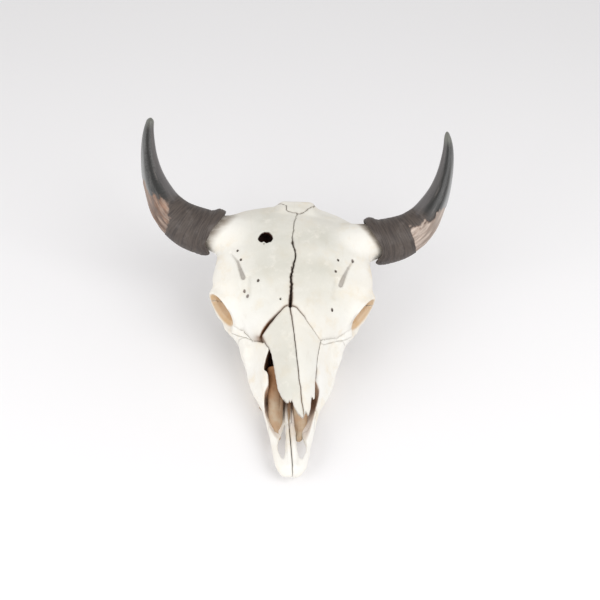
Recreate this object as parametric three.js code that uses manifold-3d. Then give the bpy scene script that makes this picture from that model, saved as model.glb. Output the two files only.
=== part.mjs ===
// Skull of an American bison bull without its lower jaw, bleached, with both horn sheaths on their cores.
// Millimetres, +Z up, nose toward -Y. The skull rests on its cheek teeth and its paracondylar processes.
//
// The bone is one smooth body, described by a distance function of rounded masses and hollows, and is then
// parted along its sutures. Skull axes: x to the side, y back from the tip of the premaxillae, z up from
// the plane that the cheek teeth stand on. Both sides are mirror images, apart from the nasal bones, which
// have drifted to one side, and the wandering suture down the forehead.

import * as THREE from 'three';
import { edgeTable, triTable } from 'three/addons/objects/MarchingCubes.js';
import { mergeVertices } from 'three/addons/utils/BufferGeometryUtils.js';
import Module from 'manifold-3d';

const wasm = await Module();
wasm.setup();

// Driving dimensions.
const SEAM = 0.3;
const GRID = 4;
const BONE_TRIANGLES = 6500;

const ORBIT = {
  x: 134, y: 318, z: 119, rim: 34, wall: 8, mouth: 29, flare: 1, depth: 56, forward: 38, upward: -10,
};
const BRAINCASE = { y: 440, z: 126, halfWidth: 66, halfLength: 78, halfHeight: 60 };
const CONDYLE = { low: [25, 528, 58], high: [43, 525, 80], radius: 22 };
const FORAMEN_MAGNUM = { y: 552, z: 86, radius: 18.5, depth: 66 };
const PARACONDYLAR = { x: 64, y: 492, top: 88, foot: 6, rootRadius: 22, tipRadius: 10, flatness: 1.5 };
const PALATINE_FISSURE = { x: 14, from: 32, to: 112, halfWidth: 7.5 };
const HOLE = { x: -57, y: 414, z: 218, halfWidth: 14, halfLength: 11, depth: 26 };
const NOSE_OFFSET = 6;
const TOOTH_ROW = { from: 166, gum: 15, root: 14 };
const TEETH = [
  { length: 17, width: 17, lobes: 1 },
  { length: 19, width: 19, lobes: 1 },
  { length: 18, width: 21, lobes: 1 },
  { length: 26, width: 24, lobes: 2 },
  { length: 30, width: 26, lobes: 2 },
  { length: 32, width: 25, lobes: 2 },
];

const HORN = {
  base: [156, 452, 188],
  rise: 52,
  roll: 1.15,
  sheathRadius: 46,
  wall: 4,
  coreGap: 0.6,
  hollowShare: 0.62,
  rings: 17,
  sides: 16,
};
// How far the rim of a sheath stands out along the horn: on its upper face, and at its lips behind and
// in front.
const MOUTH = { face: 10, behind: -16, front: 16 };
// How far the middle line of a horn stands out sideways, and how far it has risen, from base to tip.
const HORN_LINE = [
  [0, 1], [25, 5], [52, 14], [77, 29], [97, 50], [112, 76], [125, 107],
  [133, 141], [136, 168], [136, 195], [132, 221],
];
const HORN_TAPER = curve([
  [0, 1], [0.14, 0.975], [0.3, 0.84], [0.5, 0.59], [0.7, 0.38], [0.86, 0.26], [0.96, 0.17], [1, 0.12],
]);

// Curves along the skull, as [y, value] pairs.
const DORSAL_MIDLINE = curve([
  [60, 80], [84, 94], [120, 113], [180, 142], [240, 165], [277, 179], [310, 194],
  [350, 210], [400, 225], [450, 231], [485, 227], [510, 218], [530, 207], [560, 190],
]);
const DORSAL_ROUNDING = curve([
  [60, 110], [120, 125], [200, 115], [240, 85], [277, 50], [310, 25], [340, 18], [400, 17], [450, 15],
  [500, 17], [540, 22],
]);
const FRONTAL_WIDTH = curve([
  [230, 55], [255, 68], [277, 90], [296, 118], [322, 140], [342, 153], [360, 156], [395, 151], [440, 149],
  [480, 138], [505, 122], [535, 100],
]);
const MUZZLE_WIDTH = curve([
  [0, 14], [4, 23], [12, 29], [26, 35], [55, 41], [95, 46], [125, 52], [150, 65], [178, 78], [205, 84],
  [235, 86], [262, 90], [290, 90], [318, 80], [345, 58],
]);
const MUZZLE_TOP_WIDTH = curve([
  [0, 14], [26, 34], [95, 44], [125, 49], [160, 51], [200, 54], [236, 64], [262, 82], [290, 104], [345, 104],
]);
const PREMAXILLA_TOP = curve([
  [0, 32], [20, 38], [60, 43], [95, 54], [130, 76], [168, 104], [190, 130], [210, 160], [240, 240],
]);
const MUZZLE_LOW_WIDTH = curve([
  [0, 12], [4, 22], [12, 28], [26, 34], [95, 45], [125, 49], [160, 57], [200, 68], [250, 77], [300, 76],
  [345, 52],
]);
const MUZZLE_FLOOR = curve([[0, 20], [30, 25], [80, 30], [130, 33], [180, 35], [300, 35], [345, 46]]);
const TOOTH_LINE = curve([[150, 44], [175, 49], [210, 55], [250, 58], [305, 55]]);
const CAVITY_WIDTH = curve([
  [20, 6], [45, 22], [80, 27], [110, 34], [150, 44], [200, 46], [226, 52], [245, 50],
]);
const NASAL_WIDTH = curve([
  [84, 25], [104, 28], [120, 31], [150, 36], [180, 40], [205, 43], [222, 49], [238, 57], [280, 60],
]);
const MIDLINE_DRIFT = curve([
  [60, 24], [87, 20], [147, 10], [201, 3], [253, -4], [275, -7], [335, -6], [372, 1], [404, -5], [452, -1],
  [480, 3], [540, 3],
]);
const OCCIPUT_WIDTH = curve([
  [50, 60], [75, 98], [98, 124], [122, 126], [150, 119], [185, 112], [205, 98], [222, 70],
]);
const OCCIPUT_BACK = curve([
  [40, 512], [80, 514], [110, 508], [150, 508], [180, 514], [206, 525], [225, 526],
]);

// Piecewise cubic through a few [place, value] pairs, level beyond its ends.
function curve(pairs) {
  const at = pairs.map((pair) => pair[0]);
  const value = pairs.map((pair) => pair[1]);
  const last = at.length - 1;
  const slope = value.map((_, i) => {
    if (i === 0 || i === last) {
      return 0;
    }
    const before = (value[i] - value[i - 1]) / (at[i] - at[i - 1]);
    const after = (value[i + 1] - value[i]) / (at[i + 1] - at[i]);
    return before * after > 0 ? (2 * before * after) / (before + after) : 0;
  });
  return (place) => {
    if (place <= at[0]) {
      return value[0];
    }
    if (place >= at[last]) {
      return value[last];
    }
    let i = 0;
    while (at[i + 1] < place) {
      i += 1;
    }
    const span = at[i + 1] - at[i];
    const t = (place - at[i]) / span;
    const s = 1 - t;
    return (1 + 2 * t) * s * s * value[i] + t * s * s * span * slope[i]
      + t * t * (3 - 2 * t) * value[i + 1] - t * t * s * span * slope[i + 1];
  };
}

// Distance functions: negative inside. blend is the radius over which two masses flow together.
function join(a, b, blend) {
  const h = Math.max(blend - Math.abs(a - b), 0) / blend;
  return Math.min(a, b) - h * h * blend / 4;
}

function common(a, b, blend) {
  return -join(-a, -b, blend);
}

function carve(a, hollow, blend) {
  return -join(-a, hollow, blend);
}

function ellipsoid(x, y, z, rx, ry, rz) {
  const k = Math.hypot(x / rx, y / ry, z / rz);
  const g = Math.hypot(x / (rx * rx), y / (ry * ry), z / (rz * rz));
  return g > 1e-9 ? k * (k - 1) / g : -Math.min(rx, ry, rz);
}

function rod(x, y, z, a, b, ra, rb) {
  const bx = b[0] - a[0];
  const by = b[1] - a[1];
  const bz = b[2] - a[2];
  const px = x - a[0];
  const py = y - a[1];
  const pz = z - a[2];
  const t = Math.min(Math.max((px * bx + py * by + pz * bz) / (bx * bx + by * by + bz * bz), 0), 1);
  return Math.hypot(px - t * bx, py - t * by, pz - t * bz) - ra - (rb - ra) * t;
}

function block(x, y, z, hx, hy, hz, round) {
  const qx = Math.abs(x) - hx + round;
  const qy = Math.abs(y) - hy + round;
  const qz = Math.abs(z) - hz + round;
  const outside = Math.hypot(Math.max(qx, 0), Math.max(qy, 0), Math.max(qz, 0));
  return outside + Math.min(Math.max(qx, qy, qz), 0) - round;
}

function mix(a, b, t) {
  const s = Math.min(Math.max(t, 0), 1);
  return a + (b - a) * s * s * (3 - 2 * s);
}

// Height of the upper surface, arched from side to side.
function dorsal(x, y) {
  return DORSAL_MIDLINE(y) - DORSAL_ROUNDING(y) * (x / 100) ** 2;
}

// Roof of the skull: domed forehead with overhanging edges, thick in the middle and thin at the temples.
function forehead(x, y, z) {
  const top = dorsal(x, y);
  const thickness = 24 + 40 * Math.exp(-((x / 84) ** 4));
  const slab = common(z - top, top - thickness - z, 14) * 0.93;
  const plan = common(x - FRONTAL_WIDTH(y), common(262 - y, y - 519, 10), 18) * 0.9;
  return common(slab, plan, 16);
}

// Muzzle: both upper jaw bones and the premaxillae, with the cheeks bulging at the facial tuber.
function muzzle(x, y, z) {
  const top = dorsal(x, y);
  const upperLean = (z - 62) / Math.max(top - 62, 20);
  const middle = mix(MUZZLE_LOW_WIDTH(y), MUZZLE_WIDTH(y), (z - 18) / 44);
  const side = (x - mix(middle, MUZZLE_TOP_WIDTH(y), upperLean)) * 0.9;
  const underForehead = mix(0, 16, (y - 250) / 50);
  const upper = Math.max(z - top + underForehead, z - PREMAXILLA_TOP(y)) * 0.88;
  const height = common(upper, MUZZLE_FLOOR(y) - z, 10);
  let d = common(common(side, height, 16), Math.max(1 - y, y - 330), 8);
  d = join(d, ellipsoid(x - 83, y - 252, z - 72, 11, 34, 12), 14);
  // Gum of the cheek teeth.
  d = join(d, block(x - TOOTH_LINE(y), y - 231, z - 31, 12.5, 74, 18, 9), 14);
  return d;
}

// Open nose: a wide channel behind the tip that runs back under the nasal bones.
function noseChannel(x, y, z) {
  const floor = 41 + 6 * Math.exp(-(((y - 20) / 18) ** 2));
  const side = (Math.abs(x + NOSE_OFFSET) - CAVITY_WIDTH(y)) * 0.9;
  return common(common(side, floor - z, 18), common(22 - y, y - 240, 8), 10);
}

function nasalBones(x, y, z) {
  const off = x - MIDLINE_DRIFT(y);
  const across = Math.abs(off);
  const top = dorsal(off, y);
  const shell = common(z - top, top - 6.5 - z, 2) * 0.9;
  const tip = Math.max(86 + 0.035 * across * across - y - (across > 17 ? 0 : 2), y - 285);
  return common(shell, common(across - NASAL_WIDTH(y), tip, 4), 3);
}

function orbitAxes() {
  const forward = THREE.MathUtils.degToRad(ORBIT.forward);
  const upward = THREE.MathUtils.degToRad(ORBIT.upward);
  return new THREE.Vector3(
    Math.cos(forward) * Math.cos(upward), -Math.sin(forward) * Math.cos(upward), Math.sin(upward));
}
const ORBIT_AXIS = orbitAxes();

// Place within the orbit: how far out along its axis, and how far from that axis.
function orbitPlace(x, y, z) {
  const px = x - ORBIT.x;
  const py = y - ORBIT.y;
  const pz = z - ORBIT.z;
  const out = px * ORBIT_AXIS.x + py * ORBIT_AXIS.y + pz * ORBIT_AXIS.z;
  const away = Math.sqrt(Math.max(px * px + py * py + pz * pz - out * out, 0));
  return [out, away];
}

function orbitWall([out, away]) {
  const rim = Math.hypot(away - ORBIT.rim, out + 2) - ORBIT.wall * 0.8;
  const cone = common((away - ORBIT.rim - 4 + out * -0.12) * 0.95, common(out - 1, -46 - out, 6), 6);
  return join(rim, cone, 5);
}

function orbitHollow([out, away]) {
  const back = ORBIT.depth + out;
  const radius = ORBIT.mouth * Math.sqrt(Math.min(Math.max(back / ORBIT.depth, 0), 1))
    + ORBIT.flare * Math.max(out + 4, 0);
  return Math.max(away - radius, -back) * 0.9;
}

// Cheek arch, a deep thin band from the upper jaw under the orbit to the ear.
const ARCH = [
  [[84, 246, 80], 11], [[95, 276, 86], 11], [[127, 310, 91], 10], [[140, 334, 98], 8],
  [[140, 362, 104], 7], [[134, 392, 103], 7], [[122, 420, 101], 9], [[104, 440, 98], 14],
];
function cheekArch(x, y, z) {
  const flat = 0.62;
  let d = 1e9;
  for (let i = 0; i + 1 < ARCH.length; i += 1) {
    const [a, ra] = ARCH[i];
    const [b, rb] = ARCH[i + 1];
    const piece = rod(x, y, z * flat, [a[0], a[1], a[2] * flat], [b[0], b[1], b[2] * flat], ra, rb);
    d = join(d, piece, 6);
  }
  return d;
}

// Back of the skull: the upright plate with its crest, the ear region and the braincase in front of it.
function hindSkull(x, y, z) {
  const back = OCCIPUT_BACK(z) - 0.0021 * x * x;
  const plate = common(y - back, back - 40 + 0.1 * x - y, 10);
  const underForehead = mix(9, 0, (y - 490) / 30);
  const ends = common(z - dorsal(x, y) + underForehead, 62 + 0.0012 * x * x - z, 10);
  const outline = common(x - OCCIPUT_WIDTH(z), ends, 14) * 0.92;
  let d = common(plate, outline, 12);
  const brain = ellipsoid(x, y - BRAINCASE.y, z - BRAINCASE.z,
    BRAINCASE.halfWidth, BRAINCASE.halfLength, BRAINCASE.halfHeight);
  d = join(d, brain, 20);
  d = join(d, ellipsoid(x - 92, y - 436, z - 92, 36, 26, 15), 14);
  d = join(d, ellipsoid(x - 108, y - 470, z - 98, 17, 22, 27), 12);
  d = join(d, ellipsoid(x, y - 521, z - 172, 15, 9, 24), 12);
  return d;
}

// Underside: base of the skull, ear capsules, processes, condyles and the wings beside the inner nostrils.
function skullBase(x, y, z) {
  let d = block(x, y - 350, z - 122, 44, 78, 62, 26);
  d = join(d, rod(x * 0.8, y, z, [0, 515, 74], [0, 400, 72], 20, 18), 12);
  d = join(d, rod(x, y, z, [0, 400, 76], [0, 330, 92], 16, 14), 12);
  d = join(d, ellipsoid(x - 13, y - 472, z - 56, 9, 12, 9), 8);
  d = join(d, ellipsoid(x - 42, y - 452, z - 52, 12, 19, 17), 8);
  const flat = PARACONDYLAR.flatness;
  const process = rod(x * flat, y, z,
    [(PARACONDYLAR.x + 6) * flat, PARACONDYLAR.y - 4, PARACONDYLAR.top],
    [(PARACONDYLAR.x - 4) * flat, PARACONDYLAR.y, PARACONDYLAR.foot],
    PARACONDYLAR.rootRadius, PARACONDYLAR.tipRadius);
  d = join(d, process * 0.8, 12);
  d = join(d, rod(x, y, z, CONDYLE.low, CONDYLE.high, CONDYLE.radius, CONDYLE.radius), 10);
  d = join(d, rod(x, y, z, [26, 496, 74], [34, 518, 74], 26, 24), 14);
  const wingTop = 88;
  const wingFoot = mix(34, 56, (y - 330) / 70);
  const wing = block(x - 24, y - 345, z - (wingTop + wingFoot) / 2, 4.5, 62, (wingTop - wingFoot) / 2, 4);
  return join(d, wing, 8);
}

// Place in the plane of the horns, which leans back: out to the side from the base and up from it. The
// pair is rolled a little, so that the left horn (side 1) sits lower than the right one (side -1).
function hornPlace(side, out, up) {
  const rise = THREE.MathUtils.degToRad(HORN.rise);
  const roll = side * THREE.MathUtils.degToRad(HORN.roll);
  const [bx, by, bz] = HORN.base;
  const height = up - roll * (bx + out);
  return new THREE.Vector3(
    bx + out + roll * up, by + height * Math.cos(rise), bz + height * Math.sin(rise));
}
const LEFT_FOOT = hornPlace(1, 0, 0).toArray();
const RIGHT_FOOT = hornPlace(-1, 0, 0).toArray();

// Neck of bone that carries the horn core, inside the mouth of the sheath.
function hornNeck(x, y, z, [bx, by, bz]) {
  return rod(x, y, z, [bx - 38, by - 2, bz - 6], [bx + 2, by, bz], 42, HORN.sheathRadius - HORN.wall - 4);
}

function bone(px, y, z) {
  const x = Math.abs(px);
  const eye = orbitPlace(x, y, z);
  let d = join(muzzle(x, y, z), forehead(x, y, z), 14);
  d = join(d, hindSkull(x, y, z), 12);
  d = join(d, skullBase(x, y, z), 14);
  d = join(d, orbitWall(eye), 14);
  d = join(d, cheekArch(x, y, z), 9);
  d = join(d, hornNeck(x, y, z, px < 0 ? RIGHT_FOOT : LEFT_FOOT), 16);
  d = carve(d, noseChannel(px, y, z), 3);
  d = join(d, nasalBones(px, y, z), 1);
  d = carve(d, orbitHollow(eye), 4);
  // Inner nostrils, foramen magnum, the gaps in the bony palate and the groove above each orbit.
  d = carve(d, block(x, y - 357, z - 50, 18, 64, 30, 16), 6);
  const canal = Math.max(Math.hypot(x, z - FORAMEN_MAGNUM.z) - FORAMEN_MAGNUM.radius,
    Math.abs(y - FORAMEN_MAGNUM.y) - FORAMEN_MAGNUM.depth);
  d = carve(d, canal, 5);
  const fissureMiddle = (PALATINE_FISSURE.from + PALATINE_FISSURE.to) / 2;
  const fissureLength = (PALATINE_FISSURE.to - PALATINE_FISSURE.from) / 2;
  const fissure = ellipsoid(x - PALATINE_FISSURE.x, y - fissureMiddle, (z - 34) * 0.2,
    PALATINE_FISSURE.halfWidth, fissureLength, 7);
  d = carve(d, fissure, 3);
  d = carve(d, rod(x, y, z, [114, 396, dorsal(114, 396) + 3], [92, 326, dorsal(92, 326) + 3], 5, 7), 6);
  const hole = ellipsoid(px - HOLE.x, y - HOLE.y, (z - HOLE.z) * 0.4,
    HOLE.halfWidth, HOLE.halfLength, HOLE.depth * 0.4);
  return carve(d, hole, 2);
}

// Surface of the distance function over a cubic grid, with one vertex for each grid edge that it crosses.
function surface(field, low, high, step) {
  const count = high.map((top, i) => Math.ceil((top - low[i]) / step) + 1);
  const [nx, ny, nz] = count;
  const sample = new Float32Array(nx * ny * nz);
  for (let k = 0; k < nz; k += 1) {
    for (let j = 0; j < ny; j += 1) {
      for (let i = 0; i < nx; i += 1) {
        const d = field(low[0] + i * step, low[1] + j * step, low[2] + k * step);
        sample[(k * ny + j) * nx + i] = Math.abs(d) < 1e-3 ? 1e-3 : d;
      }
    }
  }
  const corner = [[0, 0, 0], [1, 0, 0], [1, 1, 0], [0, 1, 0], [0, 0, 1], [1, 0, 1], [1, 1, 1], [0, 1, 1]];
  const edge = [
    [0, 1], [1, 2], [3, 2], [0, 3], [4, 5], [5, 6], [7, 6], [4, 7], [0, 4], [1, 5], [2, 6], [3, 7],
  ];
  const vertices = [];
  const triangles = [];
  const known = new Map();
  const vertexOn = (i, j, k, e) => {
    const [a, b] = edge[e].map((c) => [i + corner[c][0], j + corner[c][1], k + corner[c][2]]);
    const axis = a[0] !== b[0] ? 0 : a[1] !== b[1] ? 1 : 2;
    const start = (a[2] * ny + a[1]) * nx + a[0];
    const key = start * 3 + axis;
    if (!known.has(key)) {
      const da = sample[start];
      const db = sample[(b[2] * ny + b[1]) * nx + b[0]];
      const t = Math.min(Math.max(da / (da - db), 0.02), 0.98);
      known.set(key, vertices.length);
      vertices.push(a.map((v, n) => low[n] + (v + (b[n] - v) * t) * step));
    }
    return known.get(key);
  };
  for (let k = 0; k + 1 < nz; k += 1) {
    for (let j = 0; j + 1 < ny; j += 1) {
      for (let i = 0; i + 1 < nx; i += 1) {
        let mask = 0;
        corner.forEach((c, bit) => {
          if (sample[((k + c[2]) * ny + j + c[1]) * nx + i + c[0]] < 0) {
            mask |= 1 << bit;
          }
        });
        if (edgeTable[mask] === 0) {
          continue;
        }
        for (let n = mask * 16; triTable[n] !== -1; n += 3) {
          const tri = [0, 1, 2].map((m) => vertexOn(i, j, k, triTable[n + m]));
          triangles.push([tri[0], tri[2], tri[1]]);
        }
      }
    }
  }
  return { vertices, triangles };
}

// Fewer triangles for the same shape: the edge whose removal moves the surface least goes first.
function decimate({ vertices, triangles }, target) {
  const point = vertices.map((v) => v.slice());
  const quadric = point.map(() => new Float64Array(10));
  const around = point.map(() => new Set());
  const faces = triangles.map((t) => t.slice());
  const plane = (t) => {
    const [a, b, c] = t.map((i) => point[i]);
    const u = [b[0] - a[0], b[1] - a[1], b[2] - a[2]];
    const v = [c[0] - a[0], c[1] - a[1], c[2] - a[2]];
    return [u[1] * v[2] - u[2] * v[1], u[2] * v[0] - u[0] * v[2], u[0] * v[1] - u[1] * v[0]];
  };
  faces.forEach((t, f) => {
    const n = plane(t);
    const size = Math.hypot(...n) || 1;
    const [a, b, c] = n.map((value) => value / size);
    const d = -(a * point[t[0]][0] + b * point[t[0]][1] + c * point[t[0]][2]);
    const terms = [a * a, a * b, a * c, a * d, b * b, b * c, b * d, c * c, c * d, d * d];
    t.forEach((i) => {
      around[i].add(f);
      terms.forEach((term, m) => {
        quadric[i][m] += term * size;
      });
    });
  });
  const error = (q, [x, y, z]) => q[0] * x * x + 2 * q[1] * x * y + 2 * q[2] * x * z + 2 * q[3] * x
    + q[4] * y * y + 2 * q[5] * y * z + 2 * q[6] * y + q[7] * z * z + 2 * q[8] * z + q[9];
  const best = (a, b) => {
    const q = quadric[a].map((value, m) => value + quadric[b][m]);
    const middle = point[a].map((value, m) => (value + point[b][m]) / 2);
    const options = [point[a], point[b], middle];
    const det = q[0] * (q[4] * q[7] - q[5] * q[5]) - q[1] * (q[1] * q[7] - q[5] * q[2])
      + q[2] * (q[1] * q[5] - q[4] * q[2]);
    if (Math.abs(det) > 1e-3 * Math.abs(q[0] + q[4] + q[7]) ** 3) {
      const x = -(q[3] * (q[4] * q[7] - q[5] * q[5]) - q[1] * (q[6] * q[7] - q[5] * q[8])
        + q[2] * (q[6] * q[5] - q[4] * q[8])) / det;
      const y = -(q[0] * (q[6] * q[7] - q[5] * q[8]) - q[3] * (q[1] * q[7] - q[5] * q[2])
        + q[2] * (q[1] * q[8] - q[6] * q[2])) / det;
      const z = -(q[0] * (q[4] * q[8] - q[6] * q[5]) - q[1] * (q[1] * q[8] - q[6] * q[2])
        + q[3] * (q[1] * q[5] - q[4] * q[2])) / det;
      options.push([x, y, z]);
    }
    const reach = 2 * Math.hypot(...point[a].map((value, m) => value - point[b][m]));
    let pick = null;
    options.forEach((p) => {
      const far = Math.hypot(...p.map((value, m) => value - middle[m])) > reach;
      const cost = error(q, p);
      if (!far && (!pick || cost < pick.cost)) {
        pick = { cost, p };
      }
    });
    return pick;
  };
  const version = new Int32Array(point.length);
  const heap = [];
  const push = (item) => {
    let i = heap.push(item) - 1;
    while (i > 0 && heap[(i - 1) >> 1].cost > item.cost) {
      heap[i] = heap[(i - 1) >> 1];
      i = (i - 1) >> 1;
    }
    heap[i] = item;
  };
  const pop = () => {
    const top = heap[0];
    const item = heap.pop();
    if (heap.length > 0) {
      let i = 0;
      for (;;) {
        let child = 2 * i + 1;
        if (child >= heap.length) {
          break;
        }
        if (child + 1 < heap.length && heap[child + 1].cost < heap[child].cost) {
          child += 1;
        }
        if (heap[child].cost >= item.cost) {
          break;
        }
        heap[i] = heap[child];
        i = child;
      }
      heap[i] = item;
    }
    return top;
  };
  const offer = (a, b) => {
    const { cost, p } = best(a, b);
    push({ cost, p, a, b, stamp: version[a] + version[b] });
  };
  const near = (a) => {
    const found = new Set();
    around[a].forEach((f) => faces[f].forEach((i) => found.add(i)));
    found.delete(a);
    return found;
  };
  point.forEach((_, a) => near(a).forEach((b) => {
    if (a < b) {
      offer(a, b);
    }
  }));
  let left = faces.length;
  while (left > target && heap.length > 0) {
    const { a, b, p, stamp } = pop();
    if (!around[a] || !around[b] || stamp !== version[a] + version[b]) {
      continue;
    }
    const shared = [...around[a]].filter((f) => around[b].has(f));
    const neighbours = [...near(a)].filter((i) => near(b).has(i));
    if (shared.length !== 2 || neighbours.length !== 2 || neighbours.some((i) => around[i].size <= 3)) {
      continue;
    }
    const flips = [a, b].some((i) => [...around[i]].some((f) => {
      if (shared.includes(f)) {
        return false;
      }
      const before = plane(faces[f]);
      const kept = point[i];
      point[i] = p;
      const after = plane(faces[f]);
      point[i] = kept;
      const dot = before[0] * after[0] + before[1] * after[1] + before[2] * after[2];
      return dot < 0.25 * Math.hypot(...before) * Math.hypot(...after);
    }));
    if (flips) {
      continue;
    }
    point[a] = p;
    quadric[a] = quadric[a].map((value, m) => value + quadric[b][m]);
    shared.forEach((f) => {
      faces[f].forEach((i) => around[i].delete(f));
      faces[f] = null;
      left -= 1;
    });
    around[b].forEach((f) => {
      faces[f] = faces[f].map((i) => (i === b ? a : i));
      around[a].add(f);
    });
    around[b] = null;
    version[a] += 1;
    near(a).forEach((i) => {
      version[i] += 1;
    });
    near(a).forEach((i) => {
      offer(a, i);
      near(i).forEach((j) => {
        if (j !== a && !(near(a).has(j) && j < i)) {
          offer(i, j);
        }
      });
    });
  }
  return { vertices: point, triangles: faces.filter((t) => t !== null) };
}

function solidFrom({ vertices, triangles }) {
  const mesh = new wasm.Mesh({
    numProp: 3,
    vertProperties: new Float32Array(vertices.flat()),
    triVerts: new Uint32Array(triangles.flat()),
  });
  mesh.merge();
  return new wasm.Manifold(mesh);
}

function solidOf(geometry) {
  const bare = geometry.clone();
  bare.deleteAttribute('normal');
  bare.deleteAttribute('uv');
  const merged = mergeVertices(bare, 1e-4);
  return new wasm.Manifold(new wasm.Mesh({
    numProp: 3,
    vertProperties: new Float32Array(merged.attributes.position.array),
    triVerts: new Uint32Array(merged.index.array),
  }));
}

// Outline moved outward by a distance, corner by corner. Points run counterclockwise.
function grown(outline, distance) {
  const count = outline.length;
  return outline.map((p, i) => {
    const before = outline[(i + count - 1) % count];
    const after = outline[(i + 1) % count];
    const into = [p[0] - before[0], p[1] - before[1]];
    const away = [after[0] - p[0], after[1] - p[1]];
    const inLength = Math.hypot(...into);
    const outLength = Math.hypot(...away);
    const normal = [into[1] / inLength + away[1] / outLength, -into[0] / inLength - away[0] / outLength];
    const scale = distance * 2 / (normal[0] ** 2 + normal[1] ** 2);
    return [p[0] + normal[0] * scale, p[1] + normal[1] * scale];
  });
}

// Region of space behind an outline: seen from above, [x, y] points, or from the side, [y, z] points.
function prism(outline, view, from, to) {
  const area = outline.reduce((sum, p, i) => {
    const next = outline[(i + 1) % outline.length];
    return sum + p[0] * next[1] - next[0] * p[1];
  }, 0);
  const ordered = area > 0 ? outline : outline.slice().reverse();
  return (growth) => {
    const shape = new THREE.Shape(grown(ordered, growth).map((p) => new THREE.Vector2(...p)));
    const depth = to - from + 2 * growth;
    const geometry = new THREE.ExtrudeGeometry(shape, { depth, bevelEnabled: false });
    geometry.translate(0, 0, from - growth);
    if (view === 'side') {
      geometry.applyMatrix4(new THREE.Matrix4().set(0, 0, 1, 0, 1, 0, 0, 0, 0, 1, 0, 0, 0, 0, 0, 1));
    }
    return solidOf(geometry);
  };
}

function both(first, second) {
  return (growth) => first(growth).intersect(second(growth));
}

// Takes the bone inside a region off the rest, leaving a seam between them.
function peel(rest, region) {
  return [rest.intersect(region(-SEAM / 2)), rest.subtract(region(SEAM / 2))];
}

function largest(solid) {
  return solid.decompose().reduce((big, next) => (next.volume() > big.volume() ? next : big));
}

// Ring-by-ring body with a closed fan at each end. Each ring is a list of points.
function loft(rings) {
  const sides = rings[0].length;
  const vertices = rings.flat();
  const triangles = [];
  for (let r = 0; r + 1 < rings.length; r += 1) {
    for (let s = 0; s < sides; s += 1) {
      const a = r * sides + s;
      const b = r * sides + (s + 1) % sides;
      triangles.push([a, b, b + sides], [a, b + sides, a + sides]);
    }
  }
  [[0, -1], [rings.length - 1, 1]].forEach(([r, direction]) => {
    const ring = rings[r];
    const middle = [0, 1, 2].map((n) => ring.reduce((sum, p) => sum + p[n], 0) / sides);
    vertices.push(middle);
    for (let s = 0; s < sides; s += 1) {
      const a = r * sides + s;
      const b = r * sides + (s + 1) % sides;
      triangles.push(direction > 0 ? [a, b, vertices.length - 1] : [b, a, vertices.length - 1]);
    }
  });
  return { vertices, triangles };
}

// Middle line of a horn. Both are drawn on the +x side, and the right one is mirrored afterwards.
function hornLine(side) {
  return new THREE.CatmullRomCurve3(HORN_LINE.map(([out, up]) => hornPlace(side, out, up)));
}

function hornRadius(share) {
  return HORN.sheathRadius * HORN_TAPER(share);
}

function mouthOffset(rise) {
  const lean = (MOUTH.behind - MOUTH.front) / 2;
  const saddle = (MOUTH.behind + MOUTH.front) / 2 - MOUTH.face;
  return MOUTH.face + lean * rise + saddle * rise * rise;
}

// Rings along part of the horn, thinner than its outside by inset. Toward the mouth they bend to its lips.
function hornRings(side, from, to, count, inset) {
  const line = hornLine(side);
  const rise = THREE.MathUtils.degToRad(HORN.rise);
  const across = new THREE.Vector3(0, -Math.sin(rise), Math.cos(rise));
  const rings = [];
  for (let r = 0; r <= count; r += 1) {
    const share = from + (to - from) * (r / count);
    const middle = line.getPointAt(Math.max(share, 0));
    const along = line.getTangentAt(Math.max(share, 0));
    middle.addScaledVector(along, Math.min(share, 0) * line.getLength());
    const up = new THREE.Vector3().crossVectors(across, along).normalize();
    const radius = Math.max(hornRadius(Math.max(share, 0)) - inset, 1.2);
    const bend = Math.max(1 - share / 0.35, 0) ** 2;
    rings.push(Array.from({ length: HORN.sides }, (_, s) => {
      const angle = 2 * Math.PI * s / HORN.sides;
      const p = middle.clone();
      p.addScaledVector(across, radius * Math.cos(angle));
      p.addScaledVector(up, radius * Math.sin(angle));
      p.addScaledVector(along, bend * mouthOffset(Math.sin(angle)));
      return [p.x, p.y, p.z];
    }));
  }
  return rings;
}

function facingOut(body) {
  const solid = solidFrom(body);
  if (solid.volume() > 0) {
    return solid;
  }
  return solidFrom({ vertices: body.vertices, triangles: body.triangles.map(([a, b, c]) => [a, c, b]) });
}

function onSide(side, solid) {
  return side > 0 ? solid : solid.mirror([1, 0, 0]);
}

function hornSheath(side) {
  const outside = facingOut(loft(hornRings(side, 0, 1, HORN.rings, 0)));
  const hollow = facingOut(loft(hornRings(side, -0.06, HORN.hollowShare, 10, HORN.wall)));
  return onSide(side, outside.subtract(hollow));
}

function hornCore(side) {
  const inset = HORN.wall + HORN.coreGap;
  return onSide(side, facingOut(loft(hornRings(side, -0.06, HORN.hollowShare - 0.04, 9, inset))));
}

// Space that the bone keeps clear of around a sheath.
function hornClearance(side) {
  return onSide(side, facingOut(loft(hornRings(side, -0.006, 0.5, 8, -1))));
}

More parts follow.
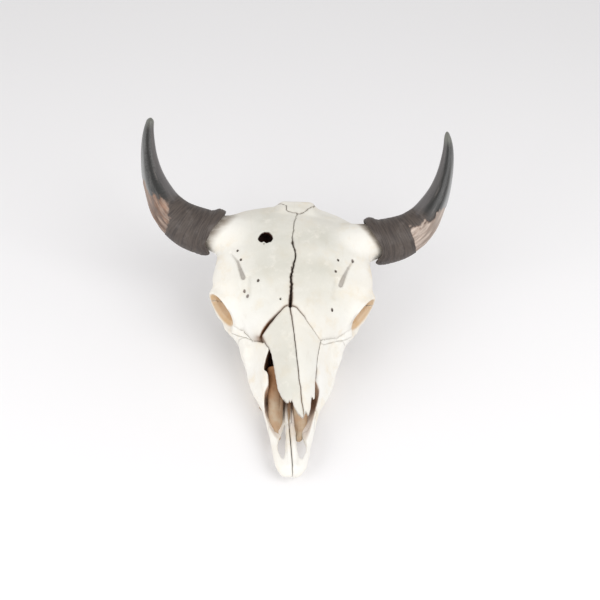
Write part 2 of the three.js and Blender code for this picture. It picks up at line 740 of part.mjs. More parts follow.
// One cheek tooth: a tall crown of one or two lobes with a flat worn top, upside down in the jaw.
function tooth({ length, width, lobes }, x, y) {
  const outline = new THREE.Shape();
  const lobeLength = length / lobes;
  outline.moveTo(-width / 2 + 3, -length / 2 + 0.6);
  for (let lobe = 0; lobe < lobes; lobe += 1) {
    const start = -length / 2 + lobe * lobeLength;
    outline.lineTo(width / 2 - 1, start + 0.8);
    outline.lineTo(width / 2 - 3.4, start + lobeLength / 2);
    outline.lineTo(width / 2 - 1, start + lobeLength - 0.8);
  }
  for (let lobe = lobes - 1; lobe >= 0; lobe -= 1) {
    const start = -length / 2 + lobe * lobeLength;
    outline.lineTo(-width / 2 + 3, start + lobeLength - 0.6);
    outline.lineTo(-width / 2, start + lobeLength * 0.62);
    outline.lineTo(-width / 2, start + lobeLength * 0.38);
    if (lobe > 0) {
      outline.lineTo(-width / 2 + 3, start + 0.6);
    }
  }
  const height = TOOTH_ROW.gum + TOOTH_ROW.root;
  const geometry = new THREE.ExtrudeGeometry(outline, { depth: height, bevelEnabled: false });
  geometry.translate(x, y, 0);
  return solidOf(geometry);
}

function toothRow() {
  let y = TOOTH_ROW.from;
  let row = null;
  TEETH.forEach((kind) => {
    const middle = y + kind.length / 2;
    const next = tooth(kind, TOOTH_LINE(middle), middle);
    row = row ? row.add(next) : next;
    y += kind.length - 0.4;
  });
  return row;
}

// Suture lines of the right-hand (+x) half, seen from above. The midline wanders as MIDLINE_DRIFT says.
function midline(from, to, step) {
  const points = [];
  for (let y = from; y <= to; y += step) {
    points.push([MIDLINE_DRIFT(y), y]);
  }
  return points;
}
const NASO_FRONTAL = [[18, 271], [38, 254], [55, 235]];
const NASAL_SIDE = [205, 165, 125].map((y) => [NASAL_WIDTH(y), y]);
const FRONTO_LACRIMAL = [[76, 256], [96, 273], [120, 290], [146, 300]];
const CORONAL = [[110, 540], [50, 540], [44, 516], [35, 500], [20, 488]];

function mirroredOutline(outline) {
  return outline.map(([x, y]) => [-x, y]);
}

function nasalOutline(side) {
  const edge = NASAL_SIDE.map(([x, y]) => [x + side * MIDLINE_DRIFT(y) + 2.5, y]);
  const outer = [...NASO_FRONTAL, ...edge, [34 + side * MIDLINE_DRIFT(100), 60]];
  const half = side > 0 ? outer : mirroredOutline(outer);
  return [...midline(60, 275, 43), ...half];
}

function frontalOutline(side) {
  const outer = [...CORONAL.slice().reverse(), [240, 540], [240, 300], ...FRONTO_LACRIMAL.slice().reverse(),
    ...NASO_FRONTAL.slice().reverse()];
  const half = side > 0 ? outer : mirroredOutline(outer);
  return [...midline(275, 480, 41), ...half];
}

// Lower limits of the bones, seen from the side as [y, z] points.
const UNDER_NASALS = [[40, 60], [225, 118], [300, 164], [300, 260], [40, 260]];
const FRONTAL_SIDE = [
  [200, 100], [288, 108], [306, 122], [338, 124], [350, 108], [366, 106], [378, 148], [470, 164],
  [505, 176], [560, 190], [560, 260], [200, 260],
];
const LACRIMAL_SIDE = [[226, 180], [228, 126], [256, 104], [284, 90], [300, 94], [316, 118], [318, 180]];
const ZYGOMATIC_SIDE = [[262, 98], [266, 72], [300, 54], [388, 82], [376, 120], [344, 136], [312, 136]];
const PREMAXILLA_SIDE = [[-20, -10], [70, -10], [80, 36], [122, 62], [134, 90], [-20, 90]];
const TEMPORAL_SIDE = [[384, 60], [440, 40], [486, 70], [492, 128], [460, 150], [400, 156], [370, 130]];
const OCCIPITAL_SIDE = [[440, -10], [600, -10], [600, 196], [522, 196], [492, 128], [486, 92], [440, 88]];
const PARIETAL_SIDE = [[384, 150], [440, 120], [600, 120], [600, 260], [384, 260]];
const PALATINE_SIDE = [[262, 10], [440, 10], [440, 78], [384, 90], [262, 90]];
const MAXILLA_SIDE = [[40, -10], [336, -10], [336, 86], [296, 130], [240, 180], [40, 180]];

const BONE = new THREE.MeshStandardMaterial({ color: 0xece6d8, roughness: 0.72, metalness: 0 });
const TOOTHED_BONE = new THREE.MeshStandardMaterial({ color: 0xe4dac4, roughness: 0.62, metalness: 0 });
const HORN_SHEATH = new THREE.MeshStandardMaterial({ color: 0x4a423d, roughness: 0.42, metalness: 0 });

function named(name, solid, material) {
  const mesh = solid.getMesh();
  const geometry = new THREE.BufferGeometry();
  geometry.setAttribute('position', new THREE.BufferAttribute(new Float32Array(mesh.vertProperties), 3));
  geometry.setIndex(new THREE.BufferAttribute(new Uint32Array(mesh.triVerts), 1));
  geometry.computeVertexNormals();
  const piece = new THREE.Mesh(geometry, material);
  piece.name = name;
  return piece;
}

// The skull lies with its teeth on the ground, and the origin is on the ground under the middle of its box.
const skull = new THREE.Group();
skull.name = 'bison_skull';

function wholeBone() {
  const raw = surface(bone, [-204, -8, -8], [204, 568, 252], GRID);
  const body = largest(solidFrom(decimate(raw, BONE_TRIANGLES))).trimByPlane([0, 0, 1], 0);
  const shared = body.subtract(hornClearance(1)).subtract(hornClearance(-1));
  return shared.add(hornCore(1)).add(hornCore(-1));
}

function buildBones() {
  let rest = wholeBone();
  const sides = [['left', 1], ['right', -1]];
  const flank = (side, inner, outer) => (side > 0 ? [inner, outer] : [-outer, -inner]);
  const add = (name, solid, material = BONE) => {
    skull.add(named(name, largest(solid), material));
  };
  const take = (region) => {
    const [piece, remaining] = peel(rest, region);
    rest = remaining;
    return piece;
  };
  sides.forEach(([word, side]) => {
    const plan = prism(nasalOutline(side), 'above', 40, 260);
    add(`nasal_${word}`, take(both(plan, prism(UNDER_NASALS, 'side', -90, 90))));
  });
  sides.forEach(([word, side]) => {
    const plan = prism(frontalOutline(side), 'above', 40, 260);
    const depth = prism(FRONTAL_SIDE, 'side', -200, 200);
    const horns = prism([[100, 380], [400, 380], [400, 700], [100, 700]].map(([x, y]) => [x * side, y]),
      'above', 130, 500);
    const [piece, remaining] = peel(rest, both(plan, depth));
    rest = remaining;
    const core = take(horns);
    add(`frontal_${word}`, piece.add(core.intersect(horns(-SEAM))));
  });
  sides.forEach(([word, side]) => {
    add(`lacrimal_${word}`, take(prism(LACRIMAL_SIDE, 'side', ...flank(side, 50, 200))));
    add(`zygomatic_${word}`, take(prism(ZYGOMATIC_SIDE, 'side', ...flank(side, 82, 200))));
    add(`premaxilla_${word}`, take(prism(PREMAXILLA_SIDE, 'side', ...flank(side, SEAM / 2, 80))));
    add(`temporal_${word}`, take(prism(TEMPORAL_SIDE, 'side', ...flank(side, 56, 200))));
  });
  add('occipital', take(prism(OCCIPITAL_SIDE, 'side', -200, 200)));
  add('parietal', take(prism(PARIETAL_SIDE, 'side', -200, 200)));
  add('palatine', take(prism(PALATINE_SIDE, 'side', -34, 34)));
  sides.forEach(([word, side]) => {
    const jaw = take(prism(MAXILLA_SIDE, 'side', ...flank(side, SEAM / 2, 200)));
    add(`maxilla_${word}`, largest(jaw).add(onSide(side, toothRow())), TOOTHED_BONE);
  });
  add('sphenoid', rest);
}

function buildHorns() {
  skull.add(named('horn_sheath_left', largest(hornSheath(1)), HORN_SHEATH));
  skull.add(named('horn_sheath_right', largest(hornSheath(-1)), HORN_SHEATH));
}

buildBones();
buildHorns();
const extent = new THREE.Box3().setFromObject(skull);
const middle = extent.getCenter(new THREE.Vector3());
skull.position.set(-middle.x, -middle.y, -extent.min.z);

export default skull;
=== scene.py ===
"""Looks of a bleached bison skull with its horn sheaths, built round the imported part.

Shapes are worked out in the skull's own millimetres: x to the side, y back from the tip of the muzzle, z up
from the plane that the cheek teeth stand on. Meshes are placed in the frame's metres.
"""

import math

import bpy
import numpy as np
import openvdb
from bpy.props import FloatProperty, FloatVectorProperty, IntProperty, PointerProperty
from mathutils import Matrix, Vector


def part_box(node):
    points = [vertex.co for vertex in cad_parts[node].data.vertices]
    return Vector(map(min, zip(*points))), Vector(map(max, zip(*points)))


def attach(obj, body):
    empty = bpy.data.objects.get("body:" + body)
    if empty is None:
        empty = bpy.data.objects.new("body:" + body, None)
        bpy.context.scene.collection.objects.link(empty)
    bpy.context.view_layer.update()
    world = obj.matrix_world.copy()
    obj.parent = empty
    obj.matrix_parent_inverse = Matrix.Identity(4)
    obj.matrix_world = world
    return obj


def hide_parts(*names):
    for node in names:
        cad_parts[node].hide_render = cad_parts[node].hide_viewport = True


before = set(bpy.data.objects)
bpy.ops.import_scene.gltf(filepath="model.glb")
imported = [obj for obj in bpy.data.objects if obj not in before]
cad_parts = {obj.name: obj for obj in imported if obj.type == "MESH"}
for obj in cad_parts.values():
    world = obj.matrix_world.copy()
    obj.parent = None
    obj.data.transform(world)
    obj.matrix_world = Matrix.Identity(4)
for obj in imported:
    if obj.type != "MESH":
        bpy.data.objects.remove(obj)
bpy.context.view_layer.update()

bl_info = {
    "name": "Bison skull",
    "version": (1, 0, 0),
    "blender": (4, 5, 0),
    "location": "View3D > Sidebar > Skull",
    "description": "Builds the bones, teeth, nose scrolls and horn sheaths of a bison skull",
    "category": "Object",
}

SIDES = (("left", 1), ("right", -1))


# Curves and noise

def curve(pairs):
    """Smooth function through a few [place, value] pairs, level beyond its ends."""
    at, value = np.array(pairs, float).T
    rise = np.diff(value) / np.diff(at)
    slope = np.zeros(len(at))
    before, after = rise[:-1], rise[1:]
    same = before * after > 0
    slope[1:-1][same] = 2 * (before * after)[same] / (before + after)[same]
    fine = np.linspace(at[0], at[-1], 800)
    i = np.clip(np.searchsorted(at, fine, side="right") - 1, 0, len(at) - 2)
    span = at[i + 1] - at[i]
    t = (fine - at[i]) / span
    s = 1 - t
    table = ((1 + 2 * t) * s * s * value[i] + t * s * s * span * slope[i]
             + t * t * (3 - 2 * t) * value[i + 1] - t * t * s * span * slope[i + 1])
    return lambda place: np.interp(place, fine, table).astype(np.float32)


def lattice_noise(x, y, z, size, seed):
    """Smooth noise between -1 and 1 whose blobs are about as wide as size."""
    count = 32
    values = np.random.default_rng(seed).uniform(-1, 1, (count, count, count)).astype(np.float32)
    cell, share = [], []
    for place in (x, y, z):
        scaled = place / size + 100.5
        floor = np.floor(scaled)
        cell.append(floor.astype(np.int32) % count)
        rest = (scaled - floor).astype(np.float32)
        share.append(rest * rest * (3 - 2 * rest))
    total = 0
    for corner in range(8):
        weight = 1
        index = []
        for axis in range(3):
            bit = corner >> axis & 1
            weight = weight * (share[axis] if bit else 1 - share[axis])
            index.append((cell[axis] + bit) % count)
        total = total + weight * values[tuple(index)]
    return total


# Distance functions, negative inside

def join(a, b, blend):
    h = np.maximum(blend - np.abs(a - b), 0) / blend
    return np.minimum(a, b) - h * h * (blend / 4)


def common(a, b, blend):
    return -join(-a, -b, blend)


def carve(a, hollow, blend):
    return -join(-a, hollow, blend)


def length(*parts):
    return np.sqrt(sum(part * part for part in parts))


def mix(a, b, t):
    s = np.clip(t, 0, 1)
    return a + (b - a) * s * s * (3 - 2 * s)


def ellipsoid(x, y, z, rx, ry, rz):
    k = length(x / rx, y / ry, z / rz)
    g = length(x / (rx * rx), y / (ry * ry), z / (rz * rz))
    return k * (k - 1) / np.maximum(g, 1e-6)


def rod(x, y, z, a, b, ra, rb):
    bx, by, bz = (b[i] - a[i] for i in range(3))
    px, py, pz = x - a[0], y - a[1], z - a[2]
    t = np.clip((px * bx + py * by + pz * bz) / (bx * bx + by * by + bz * bz), 0, 1)
    return length(px - t * bx, py - t * by, pz - t * bz) - ra - (rb - ra) * t


def block(x, y, z, hx, hy, hz, corner):
    qx = np.abs(x) - hx + corner
    qy = np.abs(y) - hy + corner
    qz = np.abs(z) - hz + corner
    outside = length(np.maximum(qx, 0), np.maximum(qy, 0), np.maximum(qz, 0))
    return outside + np.minimum(np.maximum(np.maximum(qx, qy), qz), 0) - corner


def polygon(outline, u, v):
    """Distance to a closed outline of [u, v] points."""
    nearest = np.full(u.shape, 1e12, np.float32)
    inside = np.zeros(u.shape, bool)
    for (au, av), (bu, bv) in zip(outline, outline[1:] + outline[:1]):
        eu, ev = bu - au, bv - av
        pu, pv = u - au, v - av
        t = np.clip((pu * eu + pv * ev) / (eu * eu + ev * ev), 0, 1)
        nearest = np.minimum(nearest, (pu - t * eu) ** 2 + (pv - t * ev) ** 2)
        if av != bv:
            inside ^= ((v < av) != (v < bv)) & (pu < pv * (eu / ev))
    return np.where(inside, -1, 1) * np.sqrt(nearest)


# Sizes of the skull

ORBIT = {"x": 134, "y": 318, "z": 119, "rim": 34, "wall": 8, "mouth": 29, "flare": 1, "depth": 56,
         "forward": 38, "upward": -10}
BRAINCASE = {"y": 440, "z": 126, "half": (66, 78, 60)}
CONDYLE = {"low": (25, 528, 58), "high": (43, 525, 80), "radius": 22}
FORAMEN_MAGNUM = {"y": 552, "z": 86, "radius": 18.5, "depth": 66}
PARACONDYLAR = {"x": 64, "y": 492, "top": 88, "foot": 6, "root_radius": 22, "tip_radius": 10,
                "flatness": 1.5}
NOSE_OFFSET = 6
TIP_Y = 3.2
HOLE_OUTLINE = [[-72, 414], [-70, 407], [-64, 403], [-59, 404], [-55, 399], [-50, 401], [-45, 402],
                [-41, 409], [-42, 418], [-46, 424], [-50, 429], [-58, 430], [-64, 428], [-69, 422]]
HOLE_CRACK = [[-60, 406], [-61, 394], [-59, 394], [-55, 406]]
FISSURE_RIGHT = [[-11, 107], [-16, 92], [-22, 74], [-24.5, 60], [-23, 48], [-17, 34], [-13, 33],
                 [-11, 45], [-9.5, 78]]
FISSURE_LEFT = [[8, 110], [14, 97], [22, 78], [27, 62], [26.5, 50], [19, 33], [15, 36], [11, 52],
                [9, 78]]

HORN = {"base": (156, 452, 188), "rise": 52, "roll": 1.15, "radius": 46, "wall": 4,
        "hollow_share": 0.62, "rings": 17, "sides": 16}
# The waves of the mouth's lip are [degrees round it, half width in degrees, reach along the horn].
MOUTH = {"face": 10, "behind": -16, "front": 16, "waves": ((90, 38, 6), (-60, 22, -13))}
# How far the rounded tip of each side ends beyond the horn's line, and how long the rounding is.
TIP_CAP = {-1: (-3.5, 7), 1: (4.5, 10)}
# Width of the band beside each sheath, partly stain and partly painted shadow under its lip.
NECK_STAIN_AND_SHADOW_WIDTH = {-1: 24, 1: 14}
HORN_LINE = [(0, 1), (25, 5), (52, 14), (77, 29), (97, 50), (112, 76), (125, 107), (133, 141),
             (136, 168), (136, 195), (132, 221)]
HORN_TAPER = curve([(0, 1), (0.14, 0.975), (0.3, 0.84), (0.5, 0.59), (0.7, 0.38), (0.86, 0.26),
                    (0.96, 0.17), (1, 0.12)])

DORSAL_MIDLINE = curve([
    (60, 80), (84, 94), (120, 113), (180, 142), (240, 165), (277, 179), (310, 194), (350, 210),
    (400, 225), (450, 231), (485, 227), (510, 218), (530, 207), (560, 190)])
DORSAL_ROUNDING = curve([
    (60, 110), (120, 125), (200, 115), (240, 85), (277, 50), (310, 25), (340, 18), (400, 17),
    (450, 15), (500, 17), (540, 22)])
FRONTAL_WIDTH = curve([
    (230, 55), (255, 68), (277, 90), (296, 118), (322, 140), (342, 153), (360, 156), (395, 151),
    (440, 149), (480, 138), (505, 122), (535, 100)])
MUZZLE_WIDTH = curve([
    (0, 14), (4, 23), (12, 29), (26, 35), (55, 41), (95, 46), (125, 52), (150, 65), (178, 78),
    (205, 84), (235, 86), (262, 90), (290, 90), (318, 80), (345, 58)])
MUZZLE_TOP_WIDTH = curve([
    (0, 14), (26, 34), (95, 44), (125, 49), (160, 51), (200, 54), (236, 64), (262, 82), (290, 104),
    (345, 104)])
PREMAXILLA_TOP = curve([
    (0, 32), (20, 38), (60, 43), (95, 54), (130, 76), (168, 104), (190, 130), (210, 160), (240, 240)])
MUZZLE_LOW_WIDTH = curve([
    (0, 12), (4, 22), (12, 28), (26, 34), (95, 45), (125, 49), (160, 57), (200, 68), (250, 77),
    (300, 76), (345, 52)])
MUZZLE_FLOOR = curve([(0, 20), (30, 25), (80, 30), (130, 33), (180, 35), (300, 35), (345, 46)])
TOOTH_LINE = curve([(150, 44), (175, 49), (210, 55), (250, 58), (305, 55)])
NOSE_RIGHT_EDGE = curve([
    (20, 6), (45, 16), (67, 20), (77, 28), (104, 38), (139, 44), (149, 43), (157, 37), (169, 38),
    (187, 46), (200, 43), (210, 39), (226, 36), (245, 36)])
NOSE_LEFT_EDGE = curve([
    (20, 6), (45, 29), (74, 37), (111, 45), (151, 54), (158, 50), (165, 46), (200, 46), (245, 48)])
PREMAXILLA_LINE = curve([(0, 3), (27, 1.3), (60, -1.5), (92, -3.6), (146, -5.2), (200, -6)])
RIGHT_BAR = curve([(18, 4.2), (50, 3.6), (90, 3.5), (150, 3.6)])
LEFT_BAR = curve([(18, 4.6), (50, 5.4), (90, 5.0), (150, 4.6)])
MIDLINE_DRIFT = curve([
    (60, 24), (87, 20), (147, 10), (201, 3), (253, -4), (275, -7), (335, -6), (372, 1), (404, -5),
    (452, -1), (480, 3), (540, 3)])
OCCIPUT_WIDTH = curve([
    (50, 60), (75, 98), (98, 124), (122, 126), (150, 119), (185, 112), (205, 98), (222, 70)])
CREST = {"middle": (4.5, 505, 212), "half": (36, 19, 17), "corner": 12, "blend": 15}
SHOULDER_TILT = 0.06
NASAL_CRACK = 0.7
OCCIPUT_BACK = curve([
    (40, 512), (80, 514), (110, 508), (150, 508), (180, 514), (206, 525), (225, 526)])
CHEEK_ARCH = [
    ((84, 246, 80), 11), ((95, 276, 86), 11), ((127, 310, 91), 10), ((140, 334, 98), 8),
    ((140, 362, 104), 7), ((134, 392, 103), 7), ((122, 420, 101), 9), ((104, 440, 98), 14)]
BROW_GROOVE = {-1: [(-121, 394), (-107, 373), (-100, 355), (-93, 338)],
               1: [(113, 385), (101, 365), (92, 346), (84, 328)]}
BROW_HOLLOW = {-1: ((-92, 332), (-92, 303)), 1: ((84, 328), (81, 303))}
# Round canals of the right and left sides alike: start, end and the radii there.
SMALL_CANALS = [
    ((62, 172, 56), (53, 192, 62), 4.6, 3.6), ((124, 452, 99), (92, 456, 99), 5.2, 4),
    ((23, 262, 28), (23, 276, 40), 4.2, 3), ((40, 418, 48), (38, 418, 72), 6, 4.5),
    ((38, 482, 44), (36, 480, 66), 5, 4.5), ((27, 500, 44), (24, 500, 62), 4.5, 4)]
SMALL_HOLES = [(-102, 374), (-109, 395), (-68, 327), (-93, 316), (-87, 307), (-26, 288), (83, 375),
               (78, 351), (112, 383), (72, 286)]

NASALS_OUTLINE = [
    [-8, 277], [-18, 273], [-39, 254], [-59, 237], [-50, 220], [-40, 201], [-35, 175], [-27, 138],
    [-19, 121], [-12, 111], [-8, 109], [-6, 113], [-4, 108], [-2, 113], [0, 108], [3, 100], [10, 89],
    [17, 83],
    [21, 83], [23, 92], [25, 88], [29, 87], [32, 100], [34, 121], [37, 116], [40, 120], [41, 162],
    [44, 192], [50, 229], [27, 249], [5, 272]]
FRONTALS_OUTLINE = [
    [-38, 541], [-36, 524], [-32, 514], [-18, 503], [-16, 489], [-8, 484], [9, 482], [20, 488],
    [37, 505], [44, 526], [46, 541], [240, 541], [240, 300], [146, 300], [117, 290], [96, 273], [78, 257],
    [52, 232], [0, 205], [-57, 234], [-78, 255], [-93, 273], [-120, 291], [-146, 300], [-240, 300],
    [-240, 541]]
UNDER_NASALS = [[40, 60], [225, 118], [300, 164], [300, 260], [40, 260]]
FRONTAL_SIDE = [
    [200, 100], [288, 108], [306, 122], [338, 124], [350, 108], [366, 106], [378, 148], [470, 164],
    [505, 176], [560, 190], [560, 260], [200, 260]]
LACRIMAL_SIDE = [[226, 180], [228, 126], [256, 104], [284, 90], [300, 94], [316, 118], [318, 180]]
ZYGOMATIC_SIDE = [[262, 98], [266, 72], [300, 54], [388, 82], [376, 120], [344, 136], [312, 136]]
PREMAXILLA_SIDE = [[-20, -10], [70, -10], [80, 36], [122, 62], [134, 90], [-20, 90]]
TEMPORAL_SIDE = [[384, 60], [440, 40], [486, 70], [492, 128], [460, 150], [400, 156], [370, 130]]
OCCIPITAL_SIDE = [[440, -10], [600, -10], [600, 196], [522, 196], [492, 128], [486, 92], [440, 88]]
PARIETAL_SIDE = [[384, 150], [440, 120], [600, 120], [600, 260], [384, 260]]
PALATINE_SIDE = [[262, 10], [440, 10], [440, 78], [384, 90], [262, 90]]
MAXILLA_SIDE = [[40, -10], [336, -10], [336, 86], [296, 130], [240, 180], [40, 180]]

SEAM = 0.3
MIDLINE_CRACK = curve([(276, 5.5), (300, 4.8), (330, 3.4), (375, 2.6), (398, 2.2), (410, 0.4), (480, 0.3)])
CRACK_DEPTH = 16


# The skull as one distance function

def dorsal(x, y):
    return DORSAL_MIDLINE(y) - DORSAL_ROUNDING(y) * (x / 100) ** 2


def forehead(x, y, z):
    top = dorsal(x, y)
    thickness = 24 + 40 * np.exp(-((x / 84) ** 4))
    slab = common(z - top, top - thickness - z, 14) * 0.93
    plan = common(x - FRONTAL_WIDTH(y), common(262 - y, y - 519, 10), 18) * 0.9
    return common(slab, plan, 16)


def muzzle(x, y, z):
    top = dorsal(x, y)
    upper_lean = (z - 62) / np.maximum(top - 62, 20)
    middle = mix(MUZZLE_LOW_WIDTH(y), MUZZLE_WIDTH(y), (z - 18) / 44)
    side = (x - mix(middle, MUZZLE_TOP_WIDTH(y), upper_lean)) * 0.9
    under_forehead = mix(0, 16, (y - 250) / 50)
    crest = 0.45 * np.maximum(x - MUZZLE_TOP_WIDTH(y) + 9, 0) * mix(1, 0, (y - 108) / 30)
    upper = np.maximum(z - top + under_forehead, z - PREMAXILLA_TOP(y) + crest) * 0.88
    height = common(upper, MUZZLE_FLOOR(y) - z, 10)
    d = common(common(side, height, 16), np.maximum(1 - y, y - 330), 8)
    d = join(d, ellipsoid(x - 83, y - 252, z - 72, 11, 34, 12), 14)
    return join(d, block(x - TOOTH_LINE(y), y - 231, z - 31, 12.5, 74, 18, 9), 14)


def nose_channel(x, y, z):
    floor = 41 + 6 * np.exp(-(((y - 20) / 18) ** 2))
    off = x + NOSE_OFFSET
    edge = np.where(off > 0, NOSE_LEFT_EDGE(y), NOSE_RIGHT_EDGE(y))
    side = (np.abs(off) - edge) * 0.9
    return common(common(side, floor - z, 18), common(22 - y, y - 240, 8), 10)


def median_bars(x, y, z):
    """Two rounded bars side by side down the floor of the nose, with a groove between them."""
    off = x - PREMAXILLA_LINE(y)
    spread = np.where(off > 0, LEFT_BAR(y), RIGHT_BAR(y))
    height = mix(35, 45.5, (y - 14) / 50)
    bars = length(np.abs(off) - spread, (z - height) * 0.8) - spread * 1.05
    bars = common(bars, common(16 - y, y - 178, 6), 3)
    groove = np.maximum(np.abs(off) - 0.55, np.maximum(height - z, y - 178))
    return bars, groove


def nasal_shell(x, y, z):
    off = x - MIDLINE_DRIFT(y)
    top = dorsal(off, y)
    shell = common(z - top, top - 6.5 - z, 2) * 0.9
    return common(shell, polygon(NASALS_OUTLINE, x, y), 2.5)


def orbit_place(x, y, z):
    """How far out along the axis of an orbit, and how far from that axis."""
    forward, upward = math.radians(ORBIT["forward"]), math.radians(ORBIT["upward"])
    px, py, pz = x - ORBIT["x"], y - ORBIT["y"], z - ORBIT["z"]
    out = (px * (math.cos(forward) * math.cos(upward)) - py * (math.sin(forward) * math.cos(upward))
           + pz * math.sin(upward))
    away = np.sqrt(np.maximum(px * px + py * py + pz * pz - out * out, 0))
    return out, away


def orbit_wall(out, away):
    rim = length(away - ORBIT["rim"], out + 2) - ORBIT["wall"] * 0.8
    cone = common((away - ORBIT["rim"] - 4 - out * 0.12) * 0.95, common(out - 1, -46 - out, 6), 6)
    return join(rim, cone, 5)


def orbit_hollow(out, away):
    back = ORBIT["depth"] + out
    radius = ORBIT["mouth"] * np.sqrt(np.clip(back / ORBIT["depth"], 0, 1))
    radius = radius + ORBIT["flare"] * np.maximum(out + 4, 0)
    return np.maximum(away - radius, -back) * 0.9


def cheek_arch(x, y, z):
    flat = 0.62
    d = 1e9
    for (a, ra), (b, rb) in zip(CHEEK_ARCH, CHEEK_ARCH[1:]):
        piece = rod(x, y, z * flat, (a[0], a[1], a[2] * flat), (b[0], b[1], b[2] * flat), ra, rb)
        d = join(d, piece, 6)
    return d


def hind_skull(x, y, z):
    back = OCCIPUT_BACK(z) - 0.0021 * x * x
    plate = common(y - back, back - 40 + 0.1 * x - y, 10)
    under_forehead = mix(9, 0, (y - 490) / 30)
    ends = common(z - dorsal(x, y) + under_forehead, 62 + 0.0012 * x * x - z, 10)
    outline = common(x - OCCIPUT_WIDTH(z), ends, 14) * 0.92
    d = common(plate, outline, 12)
    d = join(d, ellipsoid(x, y - BRAINCASE["y"], z - BRAINCASE["z"], *BRAINCASE["half"]), 20)
    d = join(d, ellipsoid(x - 92, y - 436, z - 92, 36, 26, 15), 14)
    d = join(d, ellipsoid(x - 108, y - 470, z - 98, 17, 22, 27), 12)
    return join(d, ellipsoid(x, y - 521, z - 172, 15, 9, 24), 12)


def skull_base(x, y, z):
    d = block(x, y - 350, z - 122, 44, 78, 62, 26)
    d = join(d, rod(x * 0.8, y, z, (0, 515, 74), (0, 400, 72), 20, 18), 12)
    d = join(d, rod(x, y, z, (0, 400, 76), (0, 330, 92), 16, 14), 12)
    d = join(d, ellipsoid(x - 13, y - 472, z - 56, 9, 12, 9), 8)
    d = join(d, ellipsoid(x - 42, y - 452, z - 52, 12, 19, 17), 8)
    flat = PARACONDYLAR["flatness"]
    process = rod(x * flat, y, z,
                  ((PARACONDYLAR["x"] + 6) * flat, PARACONDYLAR["y"] - 4, PARACONDYLAR["top"]),
                  ((PARACONDYLAR["x"] - 4) * flat, PARACONDYLAR["y"], PARACONDYLAR["foot"]),
                  PARACONDYLAR["root_radius"], PARACONDYLAR["tip_radius"])
    d = join(d, process * 0.8, 12)
    d = join(d, rod(x, y, z, CONDYLE["low"], CONDYLE["high"], CONDYLE["radius"], CONDYLE["radius"]), 10)
    d = join(d, rod(x, y, z, (26, 496, 74), (34, 518, 74), 26, 24), 14)
    wing_foot = mix(34, 56, (y - 330) / 70)
    wing = block(x - 24, y - 345, z - (88 + wing_foot) / 2, 4.5, 62, (88 - wing_foot) / 2, 4)
    return join(d, wing, 8)


def horn_place(side, out, up):
    """Place in the plane of the horns, out to the side and up. The left horn (side 1) sits lower."""
    rise, roll = math.radians(HORN["rise"]), side * math.radians(HORN["roll"])
    bx, by, bz = HORN["base"]
    height = up - roll * (bx + out)
    return bx + out + roll * up, by + height * math.cos(rise), bz + height * math.sin(rise)


def horn_neck(px, y, z):
    """Neck of bone that carries the horn, with a gap under it in the mouth of the sheath."""
    left, right = horn_place(1, 0, 0), horn_place(-1, 0, 0)
    fx, fy, fz = (np.where(px < 0, b, a).astype(np.float32) for a, b in zip(left, right))
    root, end = (fx - 38, fy - 2, fz - 6), (fx + 2, fy + 1.5, fz + 2)
    return rod(np.abs(px), y, z, root, end, 42, HORN["radius"] - HORN["wall"] - 6)


def brow_grooves(x, y, z):
    """Grooves above the orbits, deeper toward the front and undercut on the outer side."""
    d = np.full(x.shape, 1e3, np.float32)
    radius = (2.2, 3.2, 4.0, 5.0)
    for side, line in BROW_GROOVE.items():
        ends = [(ax + side * 0.8 * r, ay, float(dorsal(np.float32(ax), ay)) - 0.5 * r)
                for (ax, ay), r in zip(line, radius)]
        for a, b, ra, rb in zip(ends, ends[1:], radius, radius[1:]):
            d = join(d, rod(x, y, z, a, b, ra, rb), 1.5)
    return d


def brow_hollows(x, y, z):
    d = np.full(x.shape, 1e3, np.float32)
    for (ax, ay), (bx, by) in BROW_HOLLOW.values():
        a = (ax, ay, float(dorsal(np.float32(ax), ay)) + 5)
        b = (bx, by, float(dorsal(np.float32(bx), by)) + 10)
        d = np.minimum(d, rod(x, y, z, a, b, 9, 10.5))
    return d


def small_holes(x, y, z):
    """Openings of vessels and nerves: on the forehead, the jaws, the ears and the base of the skull."""
    d = np.full(x.shape, 1e3, np.float32)
    for hx, hy in SMALL_HOLES:
        depth = np.abs(z - dorsal(x, y)) - 6
        d = np.minimum(d, np.maximum(length(x - hx, (y - hy) * 0.8) - 2.2, depth))
    for canal in SMALL_CANALS:
        d = np.minimum(d, rod(np.abs(x), y, z, *canal))
    return d


def frontal_sinus(px, y, z):
    """Air space under the hole in the forehead, with a roof about 4 mm thick."""
    return ellipsoid(px + 58, y - 416, z - 199.5 - 0.1 * (y - 416), 36, 36, 17.5)


